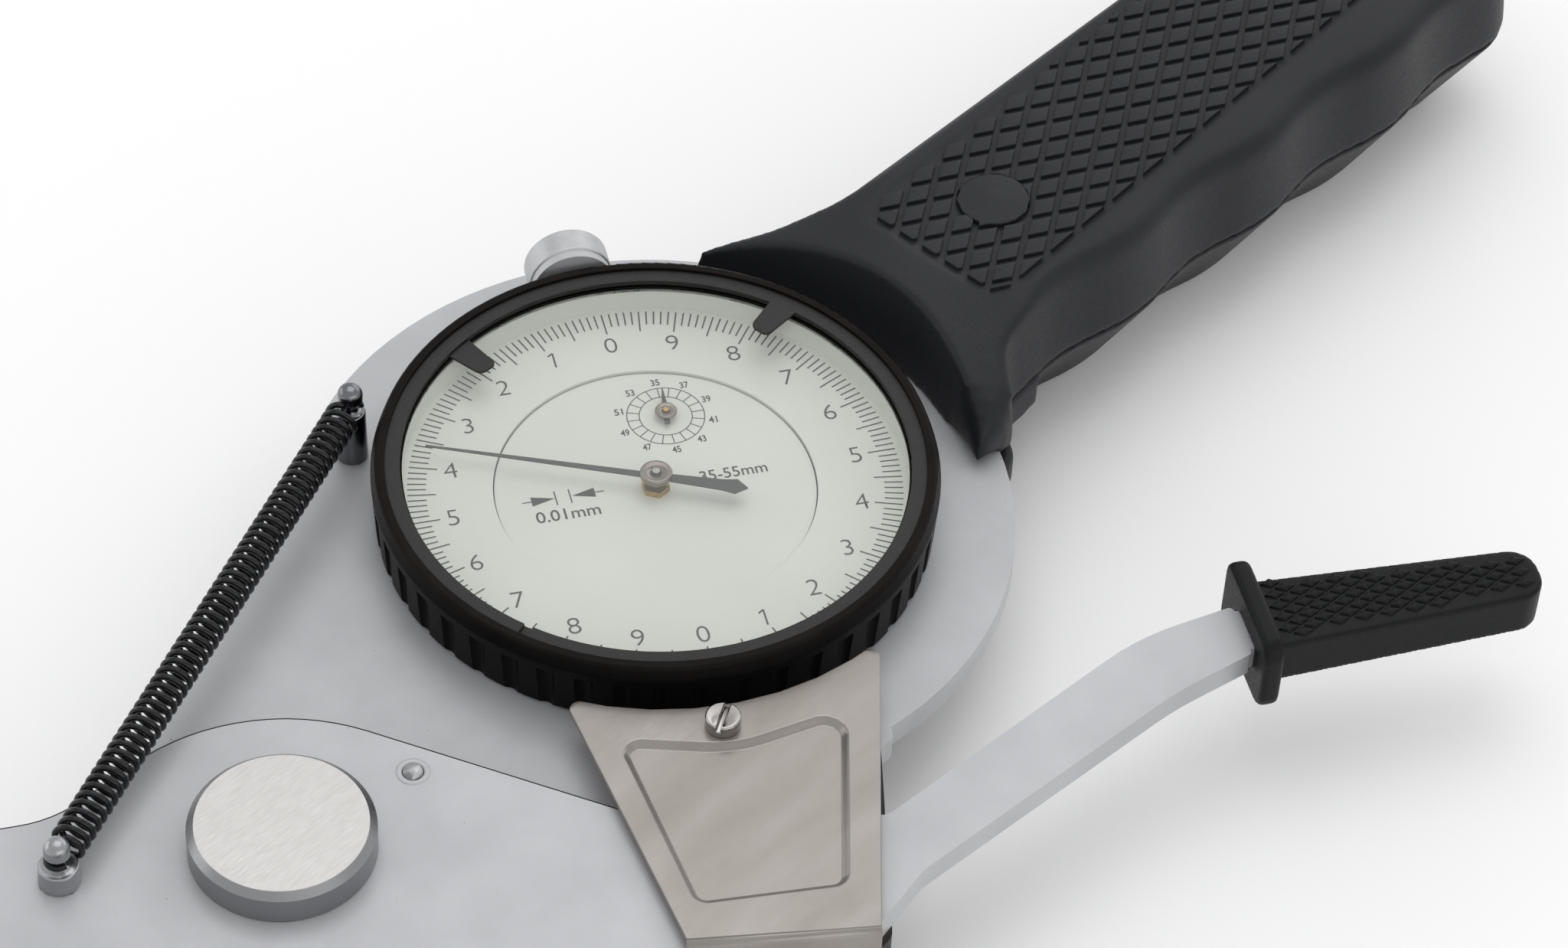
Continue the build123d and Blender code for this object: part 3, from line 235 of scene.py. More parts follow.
def shaded_chipped_edges(name, width, body):
    """A narrow dark strip along a plate's upper edges near the legs: a painted shadow of the gap at the
    edge, broken by chipped paint.
    """
    part = nodes[name]
    strips = bmesh.new()
    for _, start, end, sides in sharp_edges(part, PLATE_EDGE):
        top = max(sides, key=lambda face: face.normal.z).normal
        side = min(sides, key=lambda face: face.normal.z).normal
        start, end = (part.matrix_world @ point / MM for point in (start, end))
        upper_edge = top.z >= LEVEL and abs(side.z) <= UPRIGHT
        if not upper_edge or start.x > EDGE_LINE_STOP:
            continue
        lift = (top + side) * STRIP_PROUD
        for reach, outward in ((-side * width, top), (-top * width, side)):
            corners = (start + lift, end + lift, end + lift + reach, start + lift + reach)
            face = strips.faces.new([strips.verts.new(corner) for corner in corners])
            face.normal_update()
            if face.normal.dot(outward) < 0:
                face.normal_flip()
    piece(name + "_edge", strips, edge_shadow_and_chips, body)


# Satin acrylic paint on steel: an even silver-grey with faint clouds from the spray gun, fine
# orange peel that softens the reflections, and a few dark specks of dust under the coat.
SPECK_SPACING = 0.45
silver_paint, tree, shader, coat = finish(
    "silver_paint", ("#B3B4B7", "#BDBEC1"), 9.0, (0.38, 0.48), 0.3, 0.004, metallic=0.25
)
here = add(tree, "ShaderNodeTexCoord").outputs["Object"]
dust = add(
    tree, "ShaderNodeTexNoise", {"Vector": here, "Scale": 1 / (SPECK_SPACING * MM), "Detail": 1.0}
)
speck = add(
    tree, "ShaderNodeMapRange", {"Value": dust.outputs["Fac"], "From Min": 0.2, "From Max": 0.16}
)
specked = add(
    tree,
    "ShaderNodeMix",
    {0: speck.outputs["Result"], 6: coat, 7: linear("#5E5F62")},
    data_type="RGBA",
)
tree.links.new(specked.outputs[2], shader.inputs["Base Color"])
dress(silver_paint, "body_plate", "moving_arm", "fixed_leg", "moving_leg")
for name in ("fixed_leg", "moving_leg"):
    soften(name, 0.4)

# Along the upper edges a broken thin dark line is painted: the shadow in the gap at the edge,
# with chips of bare steel in it. Right of the line's stop, set below, the edges are left plain.
edge_shadow_and_chips, _, _, _ = finish(
    "edge_shadow_and_chips", ("#5A5858", "#ABACAE"), 2.2, (0.3, 0.5), 0.4, 0.004, metallic=0.3
)
PLATE_EDGE = 50
LEVEL = 0.99
UPRIGHT = 0.3
STRIP_PROUD = 0.006
EDGE_LINE_STOP = -35
shaded_chipped_edges("body_plate", 0.1, "frame")
shaded_chipped_edges("moving_arm", 0.13, "arm")

# Measuring contacts, pivot shaft and pins: hardened tool steel, ground and lapped, and the pins
# are pressed into the plates. It gives a close bright shine, a little streaked along the shafts.
ground_steel, _, _, _ = finish(
    "ground_steel", ("#C0C1C2", "#C8C9CA"), 3.0, (0.14, 0.28), 0.12, 0.002, 1.0, stretch=(1, 1, 6)
)
dress(ground_steel, "fixed_contact", "moving_contact", "pivot_shaft", "drive_pin", "leg_dowel")
CONTACT_SHOULDER = 30
for name in ("fixed_contact", "moving_contact"):
    nodes[name].data.shade_smooth()
    nodes[name].data.set_sharp_from_angle(angle=radians(CONTACT_SHOULDER))

# Screws, studs and the plunger: turned steel, lightly polished, bright with narrow highlights.
# The marks of the turning tool are finer than a pixel, so they are drawn coarser, 0.12 mm apart.
turned_steel, _, _, _ = finish(
    "turned_steel", ("#A8A4A1", "#B6B3B0"), 2.0, (0.16, 0.24), 0.12, 0.0006, 1.0, stretch=(1, 1, 3)
)
dress(
    turned_steel,
    "housing_screws",
    "fixed_leg_screws",
    "handle_screws",
    "leg_stud",
    "plunger",
    "centre_arbor",
    "cover_spacer",
    "cover_screw",
)
soften("cover_screw", 0.16, 3)
for name in ("housing_screws", "fixed_leg_screws"):
    soften(name, 0.15)

# The stop pin's end is left as cut, a light grey without a clear reflection.
dull_steel, _, _, _ = finish(
    "dull_steel", ("#BDBEC0", "#C6C7C9"), 2.0, (0.4, 0.5), 0.6, 0.0, 0.6
)
dress(dull_steel, "stop_pin")
soften("stop_pin", 0.25, 3)

# Collar round the stop pin: the arm's own paint, pushed up in a low ring when the pin was
# pressed through the arm. It is drawn as a profile of radius and height, turned about the pin.
DIAL_TURN = -32.5


def from_dial(x, y, z):
    """A point of the dial's frame in the gauge's frame, in millimetres."""
    return Matrix.Rotation(radians(DIAL_TURN), 4, "Z") @ Vector((x, y, z))


PIN_SPOT = from_dial(-32.7, -32.6, 0)
ARM_TOP = 16.6
COLLAR_STEPS = 48
COLLAR_PROFILE = ((1.12, 0.0), (1.2, 0.1), (1.45, 0.14), (1.68, 0.1), (1.78, 0.0))
collar = bmesh.new()
turns = [2 * pi * n / COLLAR_STEPS for n in range(COLLAR_STEPS)]
hoops = [
    [
        collar.verts.new((PIN_SPOT.x + r * cos(turn), PIN_SPOT.y + r * sin(turn), ARM_TOP + z))
        for turn in turns
    ]
    for r, z in COLLAR_PROFILE
]
for inner, outer in zip(hoops, hoops[1:]):
    for n in range(COLLAR_STEPS):
        collar.faces.new((inner[n - 1], outer[n - 1], outer[n], inner[n]))
piece("stop_pin_collar", collar, silver_paint, "arm").data.shade_smooth()

# Rear housing and dial case: a moulded black ABS cup, screwed up against the plate over the
# gears. Its spark-eroded texture keeps the gloss low, and is drawn coarser, 0.35 mm across.
black_abs, _, _, _ = finish(
    "black_abs", ("#151617", "#1C1D1E"), 12.0, (0.46, 0.6), 0.35, 0.012
)
dress(black_abs, "rear_housing", "dial_case")
soften("rear_housing", 0.5, 3)

# Bezel: turned aluminium, fluted for the fingers and anodised black. Its top band goes a little
# brown towards the rim in patches: a painted highlight of the rim, with some wear in it.
black_anodised, tree, shader, black = finish(
    "black_anodised", ("#040404", "#090808"), 4.0, (0.34, 0.46), 0.3, 0.003, Specular_IOR_Level=0.07
)
RIM_BOTTOM = 20.6
RIM_TOP = 21.9
RIM_HIGHLIGHT_PATCH = 4
# Painted highlight with some wear: brown grows with height over the rim's band, in noisy patches.
here = add(tree, "ShaderNodeTexCoord").outputs["Object"]
level = add(tree, "ShaderNodeSeparateXYZ", {"Vector": here}).outputs["Z"]
highlight_patches = add(tree, "ShaderNodeTexNoise", {"Vector": here, "Scale": 1 / (RIM_HIGHLIGHT_PATCH * MM), "Detail": 4.0})
rim_height_ramp = add(
    tree,
    "ShaderNodeMapRange",
    {"Value": level, "From Min": RIM_BOTTOM * MM, "From Max": RIM_TOP * MM, "To Max": 0.9},
)
rim_highlight_mask = add(
    tree,
    "ShaderNodeMath",
    {0: rim_height_ramp.outputs["Result"], 1: highlight_patches.outputs["Fac"]},
    operation="MULTIPLY",
)
highlighted_black = add(
    tree,
    "ShaderNodeMix",
    {0: rim_highlight_mask.outputs["Value"], 6: black, 7: linear("#1D1815")},
    data_type="RGBA",
)
tree.links.new(highlighted_black.outputs[2], shader.inputs["Base Color"])
dress(black_anodised, "bezel")

# Tolerance markers: two blackened spring-steel sheets that turn in the bezel under the
# crystal, matt so that they don't glint over the scale.
matt_black, _, _, _ = finish(
    "matt_black", ("#100F0F", "#161514"), 1.5, (0.5, 0.65), 0.2, 0.004
)
dress(matt_black, "limit_marker_lower", "limit_marker_upper")
for name in ("limit_marker_lower", "limit_marker_upper"):
    soften(name, 0.06)

# Dials: the ring turns with the bezel for zeroing, and the middle is riveted a little lower.
# Both are sheet aluminium in a pale greenish-grey satin enamel.
dial_enamel, _, _, _ = finish(
    "dial_enamel", ("#CFD1C8", "#D4D6CD"), 15.0, (0.38, 0.46), 0.25, 0.001
)
dress(dial_enamel, "ring_dial", "inner_dial")

# Dial print: one dark grey ink, pad printed on the enamel. The ring has two turns of nought to
# nine over 200 divisions; the middle has the turn counter in millimetres, the range and the step.
# The ink is matt and so thin that it shows as a flat, even dark on the enamel.
RING_TOP = 17.5
INNER_TOP = 17.15
INK = 0.02
RING_EDGE = 26.3
SHORT_TICK = 24.3
LONG_TICK = 23.27
TICK_WIDTH = 0.17
DIGITS = 21.5
DIGITS_OUT = 0.4
DIGIT_HEIGHT = 2.2
ONE = ((-0.4, 0.62), (0.18, 1.05), (0.18, -1.1))
ONE_WIDTH = 0.2
COUNTER = (3.5, 10.2)
COUNTER_INNER = 2.86
COUNTER_OUTER = 4.2
COUNTER_LINE = 0.1
COUNTER_FIGURES = 5.1
FIGURE_SIZE = 0.95
SIGN_Y = 0.78
SIGN_LINE = 1.0
ARROW_HALF = 0.67


def bar(mesh, start, end, width):
    """A straight printed line between two points of the dial."""
    (x0, y0), (x1, y1) = start, end
    reach = hypot(x1 - x0, y1 - y0)
    side_x = (y0 - y1) / reach * width / 2
    side_y = (x1 - x0) / reach * width / 2
    corners = (
        (x0 + side_x, y0 + side_y),
        (x0 - side_x, y0 - side_y),
        (x1 - side_x, y1 - side_y),
        (x1 + side_x, y1 + side_y),
    )
    mesh.faces.new([mesh.verts.new((x, y, 0)) for x, y in corners])


def spoke(mesh, centre, angle, inner, outer, width):
    """A printed line that points away from a centre, at an angle from the dial's top."""
    along = (-sin(radians(angle)), cos(radians(angle)))
    start, end = (
        (centre[0] + along[0] * reach, centre[1] + along[1] * reach) for reach in (inner, outer)
    )
    bar(mesh, start, end, width)


def loop(mesh, centre, radius, width, steps=96):
    """A printed circle."""
    rings = [
        [
            mesh.verts.new(
                (centre[0] + r * cos(2 * pi * n / steps), centre[1] + r * sin(2 * pi * n / steps), 0)
            )
            for n in range(steps)
        ]
        for r in (radius - width / 2, radius + width / 2)
    ]
    for n in range(steps):
        inner, outer = rings
        mesh.faces.new((inner[n - 1], outer[n - 1], outer[n], inner[n]))


def as_mesh(curve):
    """The mesh that a curve or lettering makes."""
    holder = bpy.data.objects.new("holder", curve)
    bpy.context.scene.collection.objects.link(holder)
    bpy.context.view_layer.update()
    made = bpy.data.meshes.new_from_object(holder)
    bpy.data.objects.remove(holder)
    return made


def words(mesh, text, middle, height, width=None, thin=0.0):
    """Lettering of a height, and if asked a width, about its middle, from Blender's sans serif.

    Thin takes some weight off the strokes, or adds some where it is negative.
    """
    curve = bpy.data.curves.new("lettering", "FONT")
    curve.body = text
    curve.offset = -thin
    shapes = as_mesh(curve)
    xs = [v.co.x for v in shapes.vertices]
    ys = [v.co.y for v in shapes.vertices]
    tall = height / (max(ys) - min(ys))
    wide = width / (max(xs) - min(xs)) if width else tall
    shapes.transform(Matrix.Translation((-(max(xs) + min(xs)) / 2, -(max(ys) + min(ys)) / 2, 0)))
    shapes.transform(Matrix.Translation((*middle, 0)) @ Matrix.Diagonal((wide, tall, 1, 1)))
    mesh.from_mesh(shapes)


def print_on(name, mesh, level, body):
    """The finished print as one piece, turned with the dial and laid on its enamel."""
    place = Matrix.Rotation(radians(DIAL_TURN), 4, "Z") @ Matrix.Translation((0, 0, level + INK))
    mesh.transform(place)
    piece(name, mesh, dial_ink, body)


dial_ink, _, _, _ = finish("dial_ink", ("#222322", "#2A2B2A"), 0.5, (0.45, 0.55), 0.1, 0.0)

ring = bmesh.new()
for tick in range(200):
    spoke(ring, (0, 0), tick * 1.8, SHORT_TICK if tick % 5 else LONG_TICK, RING_EDGE, TICK_WIDTH)
for n in range(20):
    turn = radians(n * 18)
    reach = DIGITS + DIGITS_OUT * abs(sin(turn))
    spot = Vector((-reach * sin(turn), reach * cos(turn)))
    if n % 10 == 1:
        for start, end in zip(ONE, ONE[1:]):
            bar(ring, spot + Vector(start), spot + Vector(end), ONE_WIDTH)
    else:
        words(ring, str(n % 10), spot, DIGIT_HEIGHT, thin=0.012)
print_on("ring_print", ring, RING_TOP, "bezel")

middle = bmesh.new()
for radius in (COUNTER_OUTER, COUNTER_INNER):
    loop(middle, COUNTER, radius, COUNTER_LINE)
for n in range(20):
    spoke(middle, COUNTER, n * 18, COUNTER_INNER, COUNTER_OUTER, COUNTER_LINE)
for n in range(10):
    turn = radians(-36 * n)
    spot = (COUNTER[0] - COUNTER_FIGURES * sin(turn), COUNTER[1] + COUNTER_FIGURES * cos(turn))
    words(middle, str(35 + 2 * n), spot, FIGURE_SIZE, FIGURE_SIZE, thin=-0.016)
words(middle, "0.01mm", (-9.85, -1.64), 1.6, 6.9, thin=-0.006)
words(middle, "35-55mm", (8.65, 0.64), 1.5, 7.3, thin=-0.006)

# Over the step stand two short lines, with an arrow towards each from outside.
for x in (-10.67, -9.11):
    bar(middle, (x, SIGN_Y - SIGN_LINE), (x, SIGN_Y + SIGN_LINE), 0.14)
for base, tip, tail in ((-13.29, -10.75, -14.29), (-6.44, -8.9, -5.44)):
    corners = ((base, SIGN_Y - ARROW_HALF), (tip, SIGN_Y), (base, SIGN_Y + ARROW_HALF))
    middle.faces.new([middle.verts.new((x, y, 0)) for x, y in corners])
    bar(middle, (base, SIGN_Y), (tail, SIGN_Y), 0.13)
for face in middle.faces:
    face.normal_update()
    if face.normal.z < 0:
        face.normal_flip()
print_on("inner_print", middle, INNER_TOP, "frame")

# Hands: stamped steel in a satin dark grey enamel, a little lighter than the ink, each pressed
# on its arbor under a turned and nickel-plated hub, which gives a small warm grey shine.
hand_enamel, _, _, _ = finish(
    "hand_enamel", ("#262728", "#303132"), 0.8, (0.36, 0.44), 0.15, 0.002
)
dress(hand_enamel, "main_hand", "small_hand")
for name in ("main_hand", "small_hand"):
    soften(name, 0.03)

nickel_plate, _, _, _ = finish(
    "nickel_plate", ("#7F776F", "#8D857D"), 1.5, (0.13, 0.28), 0.2, 0.002, 1.0
)
dress(nickel_plate, "main_hand_hub", "small_hand_hub")
for name in ("main_hand_hub", "small_hand_hub"):
    soften(name, 0.12, 3)

# Spring posts: turned steel studs with a waist for the spring's eye under a round head, riveted into
# the plate and the arm. Their steel is darker on the upper one and lighter on the lower one: painted
# shade and painted light.
shaded_post_steel, _, _, _ = finish(
    "shaded_post_steel", ("#727376", "#85868A"), 4.0, (0.18, 0.26), 1.5, 0.0, 1.0
)
lit_post_steel, _, _, _ = finish(
    "lit_post_steel", ("#97989B", "#A6A7AA"), 4.0, (0.24, 0.32), 1.5, 0.0, 0.9
)
dress(shaded_post_steel, "upper_spring_post")
dress(lit_post_steel, "lower_spring_post")
for name in ("upper_spring_post", "lower_spring_post"):
    soften(name, 0.2, 3)

# Crystal: a clear acrylic disc snapped into the bezel. It lets nearly all light through, and
# only a faint gloss over the dial gives it away.
clear_acrylic, _, _, _ = finish(
    "clear_acrylic", ("#E6ECEA", "#EAF0EE"), 14.0, (0.02, 0.06), 10.0, 0.0, Alpha=0.07, IOR=1.49
)
dress(clear_acrylic, "crystal")

# Gear train: blanked and hobbed brass wheels on steel arbors, in brass bushes and a brass
# bridge on two pillars. Mill-finished brass gives a soft yellow shine with streaks of rolling.
mill_brass, _, _, _ = finish(
    "mill_brass", ("#B48E4C", "#D0AD69"), 0.4, (0.22, 0.38), 0.3, 0.003, 1.0, stretch=(4, 0.4, 1)
)
dress(
    mill_brass,
    "rear_bridge",
    "bridge_pillars",
    "plunger_bush_lower",
    "plunger_bush_middle",
    "plunger_bush_upper",
    "centre_bush",
    "centre_collar",
    "arm_bush",
    "intermediate_gear",
    "counter_gear",
    "handle_inserts",
)

# The hairspring takes up the backlash, and a wire ring holds the bezel. Heat-blued spring steel
# is nearly black, with a cool shine.
blued_steel, _, _, _ = finish(
    "blued_steel", ("#22252B", "#31353D"), 2.0, (0.24, 0.36), 0.5, 0.001, 1.0
)
dress(blued_steel, "hairspring", "bezel_snap_wire")

# Linkage cover: 0.6 mm stainless sheet with a pressed panel and a folded flap, held over the
# drive pin by one slotted screw. It is warm in colour, and its brushing is drawn coarser than
# the real one, so that only long soft streaks show.
def rounded(corners, steps=6):
    """A closed outline from corners (x, y, radius), each eased by an arc of its radius."""
    outline = []
    for n, (x, y, radius) in enumerate(corners):
        corner = Vector((x, y))
        if not radius:
            outline.append(corner)
            continue
        before = (Vector(corners[n - 1][:2]) - corner).normalized()
        after = (Vector(corners[(n + 1) % len(corners)][:2]) - corner).normalized()
        half = before.angle(after) / 2
        centre = corner + (before + after).normalized() * radius / sin(half)
        start = corner + before * radius / tan(half) - centre
        end = corner + after * radius / tan(half) - centre
        for step in range(steps + 1):
            outline.append(centre + start.lerp(end, step / steps).normalized() * radius)
    return outline


def grown(outline, distance):
    """An outline moved outwards by a distance, or inwards where it is negative."""
    moved = []
    for n, point in enumerate(outline):
        along = (outline[(n + 1) % len(outline)] - outline[n - 1]).normalized()
        moved.append(point + Vector((along.y, -along.x)) * distance)
    return moved


def stacked(mesh, outline, levels):
    """Walls between copies of an outline, each grown by a distance and set at a height."""
    hoops = [
        [mesh.verts.new((*point, height)) for point in grown(outline, distance)]
        for distance, height in levels
    ]
    for first, second in zip(hoops, hoops[1:]):
        for n in range(len(first)):
            mesh.faces.new((first[n - 1], first[n], second[n], second[n - 1]))
    return hoops


def filled(mesh, *hoops):
    """Flat faces between an outer and an inner hoop."""
    pairs = [(hoop[n - 1], hoop[n]) for hoop in hoops for n in range(len(hoop))]
    edges = [mesh.edges.get(pair) for pair in pairs]
    bmesh.ops.triangle_fill(mesh, use_beauty=True, edges=edges)


stainless, _, _, _ = finish(
    "stainless", ("#928C87", "#9F9A96"), 9.0, (0.3, 0.38), 0.5, 0.0012, 0.85, stretch=(0.4, 1.6, 1)
)
COVER_TOP = 18.2
SHEET = 0.6
PANEL_DEPTH = 0.7
BEND = 0.8
FLAP = 7.0
TIP = 1.0
BEZEL_GAP = 31.85
BEZEL_ARC = range(-64, -113, -8)
CREASE = 50
FOLD = Vector((-11.2, -61.3)), Vector((7.9, -63.8))
fold_along = (FOLD[1] - FOLD[0]).normalized()
fold_out = Vector((fold_along.y, -fold_along.x))
sheet_end = [end - fold_out * BEND for end in FOLD]
bezel_side = [
    (BEZEL_GAP * cos(radians(turn)), BEZEL_GAP * sin(radians(turn)), 0) for turn in BEZEL_ARC
]
cover_edge = rounded(
    [(17.5, -26.7, TIP), *bezel_side, (-16.1, -27.5, TIP)]
    + [(end.x, end.y, 0) for end in sheet_end]
)
cover_panel = rounded(
    (
        (-11.2, -35.0, 1.0),
        (-8.5, -55.7, 1.0),
        (5.6, -56.5, 1.0),
        (10.9, -35.8, 1.6),
        (-0.6, -38.0, 14.0),
    )
)

# Profiles as (distance outwards, depth below the top): the sheet's edge and the panel's ramp.
cover = bmesh.new()
sheet_side = ((0, SHEET), (0, 0.12), (-0.04, 0.03), (-0.12, 0))
sheet_hoops = stacked(cover, cover_edge, [(out, COVER_TOP - down) for out, down in sheet_side])
ramp_steps = ((0.95, 0.0), (0.8, 0.05), (0.62, 0.18), (0.3, 0.52), (0.12, 0.65), (0.0, PANEL_DEPTH))
ramp_hoops = stacked(cover, cover_panel, [(out, COVER_TOP - down) for out, down in ramp_steps])
under_hoops = stacked(
    cover, cover_panel, ((0.4, COVER_TOP - SHEET), (-0.3, COVER_TOP - SHEET - PANEL_DEPTH))
)
filled(cover, sheet_hoops[-1], ramp_hoops[0])
filled(cover, sheet_hoops[0], under_hoops[0])
cover.faces.new(ramp_hoops[-1])
cover.faces.new(under_hoops[-1])

# The flap's section: over the outer bend, down to its foot, and back up the inner bend.
flap_profile = [
    (-BEND + radius * sin(radians(turn)), COVER_TOP - BEND + radius * cos(radians(turn)))
    for radius, turns in ((BEND, range(0, 91, 15)), (BEND - SHEET, range(90, -1, -30)))
    for turn in turns
]
OUTER_BEND_POINTS = 7
flap_foot = COVER_TOP - FLAP
flap_profile[OUTER_BEND_POINTS:OUTER_BEND_POINTS] = [(0.0, flap_foot), (-SHEET, flap_foot)]
flap_ends = [
    [cover.verts.new((*(end + fold_out * out), height)) for out, height in flap_profile] for end in FOLD
]
for n in range(len(flap_profile)):
    cover.faces.new((flap_ends[0][n - 1], flap_ends[0][n], flap_ends[1][n], flap_ends[1][n - 1]))
for end in flap_ends:
    cover.faces.new(end)
bmesh.ops.recalc_face_normals(cover, faces=cover.faces)
cover.transform(Matrix.Rotation(radians(DIAL_TURN), 4, "Z"))
pressed_cover = piece("pressed_cover", cover, stainless, "frame")
pressed_cover.data.shade_smooth()
pressed_cover.data.set_sharp_from_angle(angle=radians(CREASE))
pressed_cover.modifiers.new("even_shading", "WEIGHTED_NORMAL").weight = 100
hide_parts("linkage_cover")

# Pivot cap and leg cap: turned aluminium discs screwed over the arm's shaft. The tops are
# brushed straight across, and the bevels and sides take a darker grey as painted shade, away from
# the overhead light. The brushing is finer than a pixel, so it is drawn coarser, 0.2 mm wide.
brushed_aluminium, tree, shader, brushed = finish(
    "brushed_aluminium",
    ("#B5B3B1", "#BEBCBA"),
    0.6,
    (0.28, 0.36),
    0.4,
    0.0012,
    1.0,
    stretch=(0.3, 2, 1),
)
CAP_TOP = 20.55
BEVEL_TOP = CAP_TOP - 0.06
here = add(tree, "ShaderNodeTexCoord").outputs["Object"]
level = add(tree, "ShaderNodeSeparateXYZ", {"Vector": here}).outputs["Z"]
on_top = add(
    tree,
    "ShaderNodeMapRange",
    {"Value": level, "From Min": BEVEL_TOP * MM, "From Max": (CAP_TOP - 0.01) * MM},
)
# Painted shade: below the top face, the bevels and sides take a darker grey than the lit top.
lit_top_shaded_sides = add(
    tree,
    "ShaderNodeMix",
    {0: on_top.outputs["Result"], 6: linear("#97989A"), 7: brushed},
    data_type="RGBA",
)
tree.links.new(lit_top_shaded_sides.outputs[2], shader.inputs["Base Color"])
dress(brushed_aluminium, "pivot_cap", "leg_cap")

# Bezel clamp knob: turned aluminium, bead blasted and clear anodised, so that it's a smooth
# satin grey without a hard highlight. The blasting is drawn coarser, 0.25 mm across.
blasted_aluminium, _, _, _ = finish(
    "blasted_aluminium", ("#B4B5B7", "#BDBEC0"), 1.0, (0.38, 0.46), 0.25, 0.006, 0.6
)
dress(blasted_aluminium, "clamp_knob")
soften("clamp_knob", 0.5, 4)

# Return spring: blackened piano wire, 0.7 mm thick, wound 4.1 mm across in open turns. An eye
# at each end hangs round the neck of its post, and it stretches as the arm turns. The wire has
# a thin oily shine, so each turn shows one small glint on nearly black.
WIRE = 0.7
COIL = 4.1
TURNS = 54
TURN_POINTS = 14
EYE = 1.12
EYE_POINTS = 10
EYE_STEP = 25
EYE_ROOM = 1.7
STILL_PART = 0.3
UPPER_POST = (-29.9, 15.0, 21.1)
LOWER_POST = (-69.3, -38.9, 19.8)

upper, lower = from_dial(*UPPER_POST), from_dial(*LOWER_POST)
along = (lower - upper).normalized()
across = along.cross(Vector((0, 0, 1))).normalized()
above = across.cross(along)
wire_path = []
for n in range(EYE_POINTS):
    turn = radians(250 - EYE_STEP * n)
    wire_path.append(upper + EYE * (cos(turn) * along + sin(turn) * across))
coil_start = upper + EYE_ROOM * along
coil_end = lower - EYE_ROOM * along
radius = (COIL - WIRE) / 2
for n in range(TURNS * TURN_POINTS + 1):
    turn = 2 * pi * n / TURN_POINTS
    centre = coil_start.lerp(coil_end, n / (TURNS * TURN_POINTS))
    wire_path.append(centre + radius * (cos(turn) * above + sin(turn) * across))
for n in range(EYE_POINTS):
    turn = radians(-155 + EYE_STEP * n)
    wire_path.append(lower - EYE * (cos(turn) * -along + sin(turn) * across))
wire = bpy.data.curves.new("return_spring_coil", "CURVE")
wire.dimensions = "3D"
wire.bevel_depth = WIRE / 2 * MM
wire.bevel_resolution = 2
wire.use_fill_caps = True
wire.resolution_u = 2
spline = wire.splines.new("NURBS")
spline.points.add(len(wire_path) - 1)
for point, spot in zip(spline.points, wire_path):
    point.co = (*(spot * MM), 1)
spline.order_u = 3
spline.use_endpoint_u = True
coil_mesh = as_mesh(wire)
coil_mesh.shade_smooth()
piano_wire, _, _, _ = finish(
    "piano_wire", ("#131416", "#1B1C1E"), 1.5, (0.2, 0.34), 0.8, 0.0, 0.35
)
coil_mesh.materials.clear()
coil_mesh.materials.append(piano_wire)
coil = bpy.data.objects.new("return_spring_coil", coil_mesh)
bpy.context.scene.collection.objects.link(coil)
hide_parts("return_spring")

# The coil is baked where it lies; blend_start marks where a still part would end, but nothing uses it.
blend_start = upper.lerp(lower, STILL_PART)
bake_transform(coil)

# Handle: two mouldings of black glass-filled nylon that close round the plate's tang on three
# screws, with plugs over the heads. The faces carry raised rhombic pads for the palm. The
# nylon is a deep satin black with soft, wide highlights, and its texture is drawn coarser.
def mould(name, voxel, rounds):
    """Gives a CAD part the soft edges of a moulding: an even mesh, eased in rounds."""
    part = nodes[name]
    weld = part.modifiers.new("weld", "WELD")
    weld.merge_threshold = SAME_POINT
    even_mesh = part.modifiers.new("even_mesh", "REMESH")
    even_mesh.mode = "VOXEL"
    even_mesh.voxel_size = voxel * MM
    even_mesh.use_smooth_shade = True
    ease = part.modifiers.new("ease", "SMOOTH")
    ease.factor = 0.5
    ease.iterations = rounds


black_nylon, _, _, _ = finish(
    "black_nylon", ("#1C1D20", "#232427"), 14.0, (0.4, 0.54), 0.3, 0.01, Specular_IOR_Level=0.25
)
dress(black_nylon, "handle_upper", "handle_lower", "handle_plugs")
for name in ("handle_upper", "handle_lower"):
    mould(name, 0.4, 16)
soften("handle_plugs", 0.3, 3)

# The horn beside the dial is eased further than the rest, towards the real one's round nose.
# Its middle and its reach are in metres, and each share of the reach is smoothed in turn.
HORN = Vector((0.0282, -0.0207, 0.0155))
HORN_REACH = 0.0085
HORN_SHARES = (1.0, 0.8, 0.6)
HORN_ROUNDS = 60
bpy.context.view_layer.update()
moulded = nodes["handle_upper"].evaluated_get(bpy.context.evaluated_depsgraph_get())
shell = bmesh.new()
shell.from_mesh(bpy.data.meshes.new_from_object(moulded))
shell.transform(nodes["handle_upper"].matrix_world)
for share in HORN_SHARES:
    near = [v for v in shell.verts if (v.co - HORN).length < HORN_REACH * share]
    for _ in range(HORN_ROUNDS):
        bmesh.ops.smooth_vert(
            shell, verts=near, factor=0.5, use_axis_x=True, use_axis_y=True, use_axis_z=True
        )
shell.transform(Matrix.Scale(1 / MM, 4))
handle_shell = piece("handle_shell", shell, black_nylon, "frame")
handle_shell.data.shade_smooth()
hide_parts("handle_upper")

# The pads stand in rows on the flat panel, cut off at its border and drawn back from the plugs.
PANEL_FLOOR = 23.8
PAD_TOP = 24.25
PAD_EDGE = 0.07
PAD_CROWN = 0.04
SMALLEST_PAD = 0.5
SUNK = 0.2
PAD_ROW = Vector((2.76, -1.515))
PAD_COLUMN = Vector((2.70, 1.755))
PAD_FILL = 0.74
FIRST_PAD = Vector((45.23, 4.63))
PANEL = [Vector(p) for p in ((41.9, 8.6), (42.3, -9.2), (44.4, -10.3), (123.2, -6.0), (123.2, 12.5))]
PLUG_CLEARANCE = 4.05
PLUGS = [Vector((53.2, 0.0)), Vector((112.0, 0.0))]


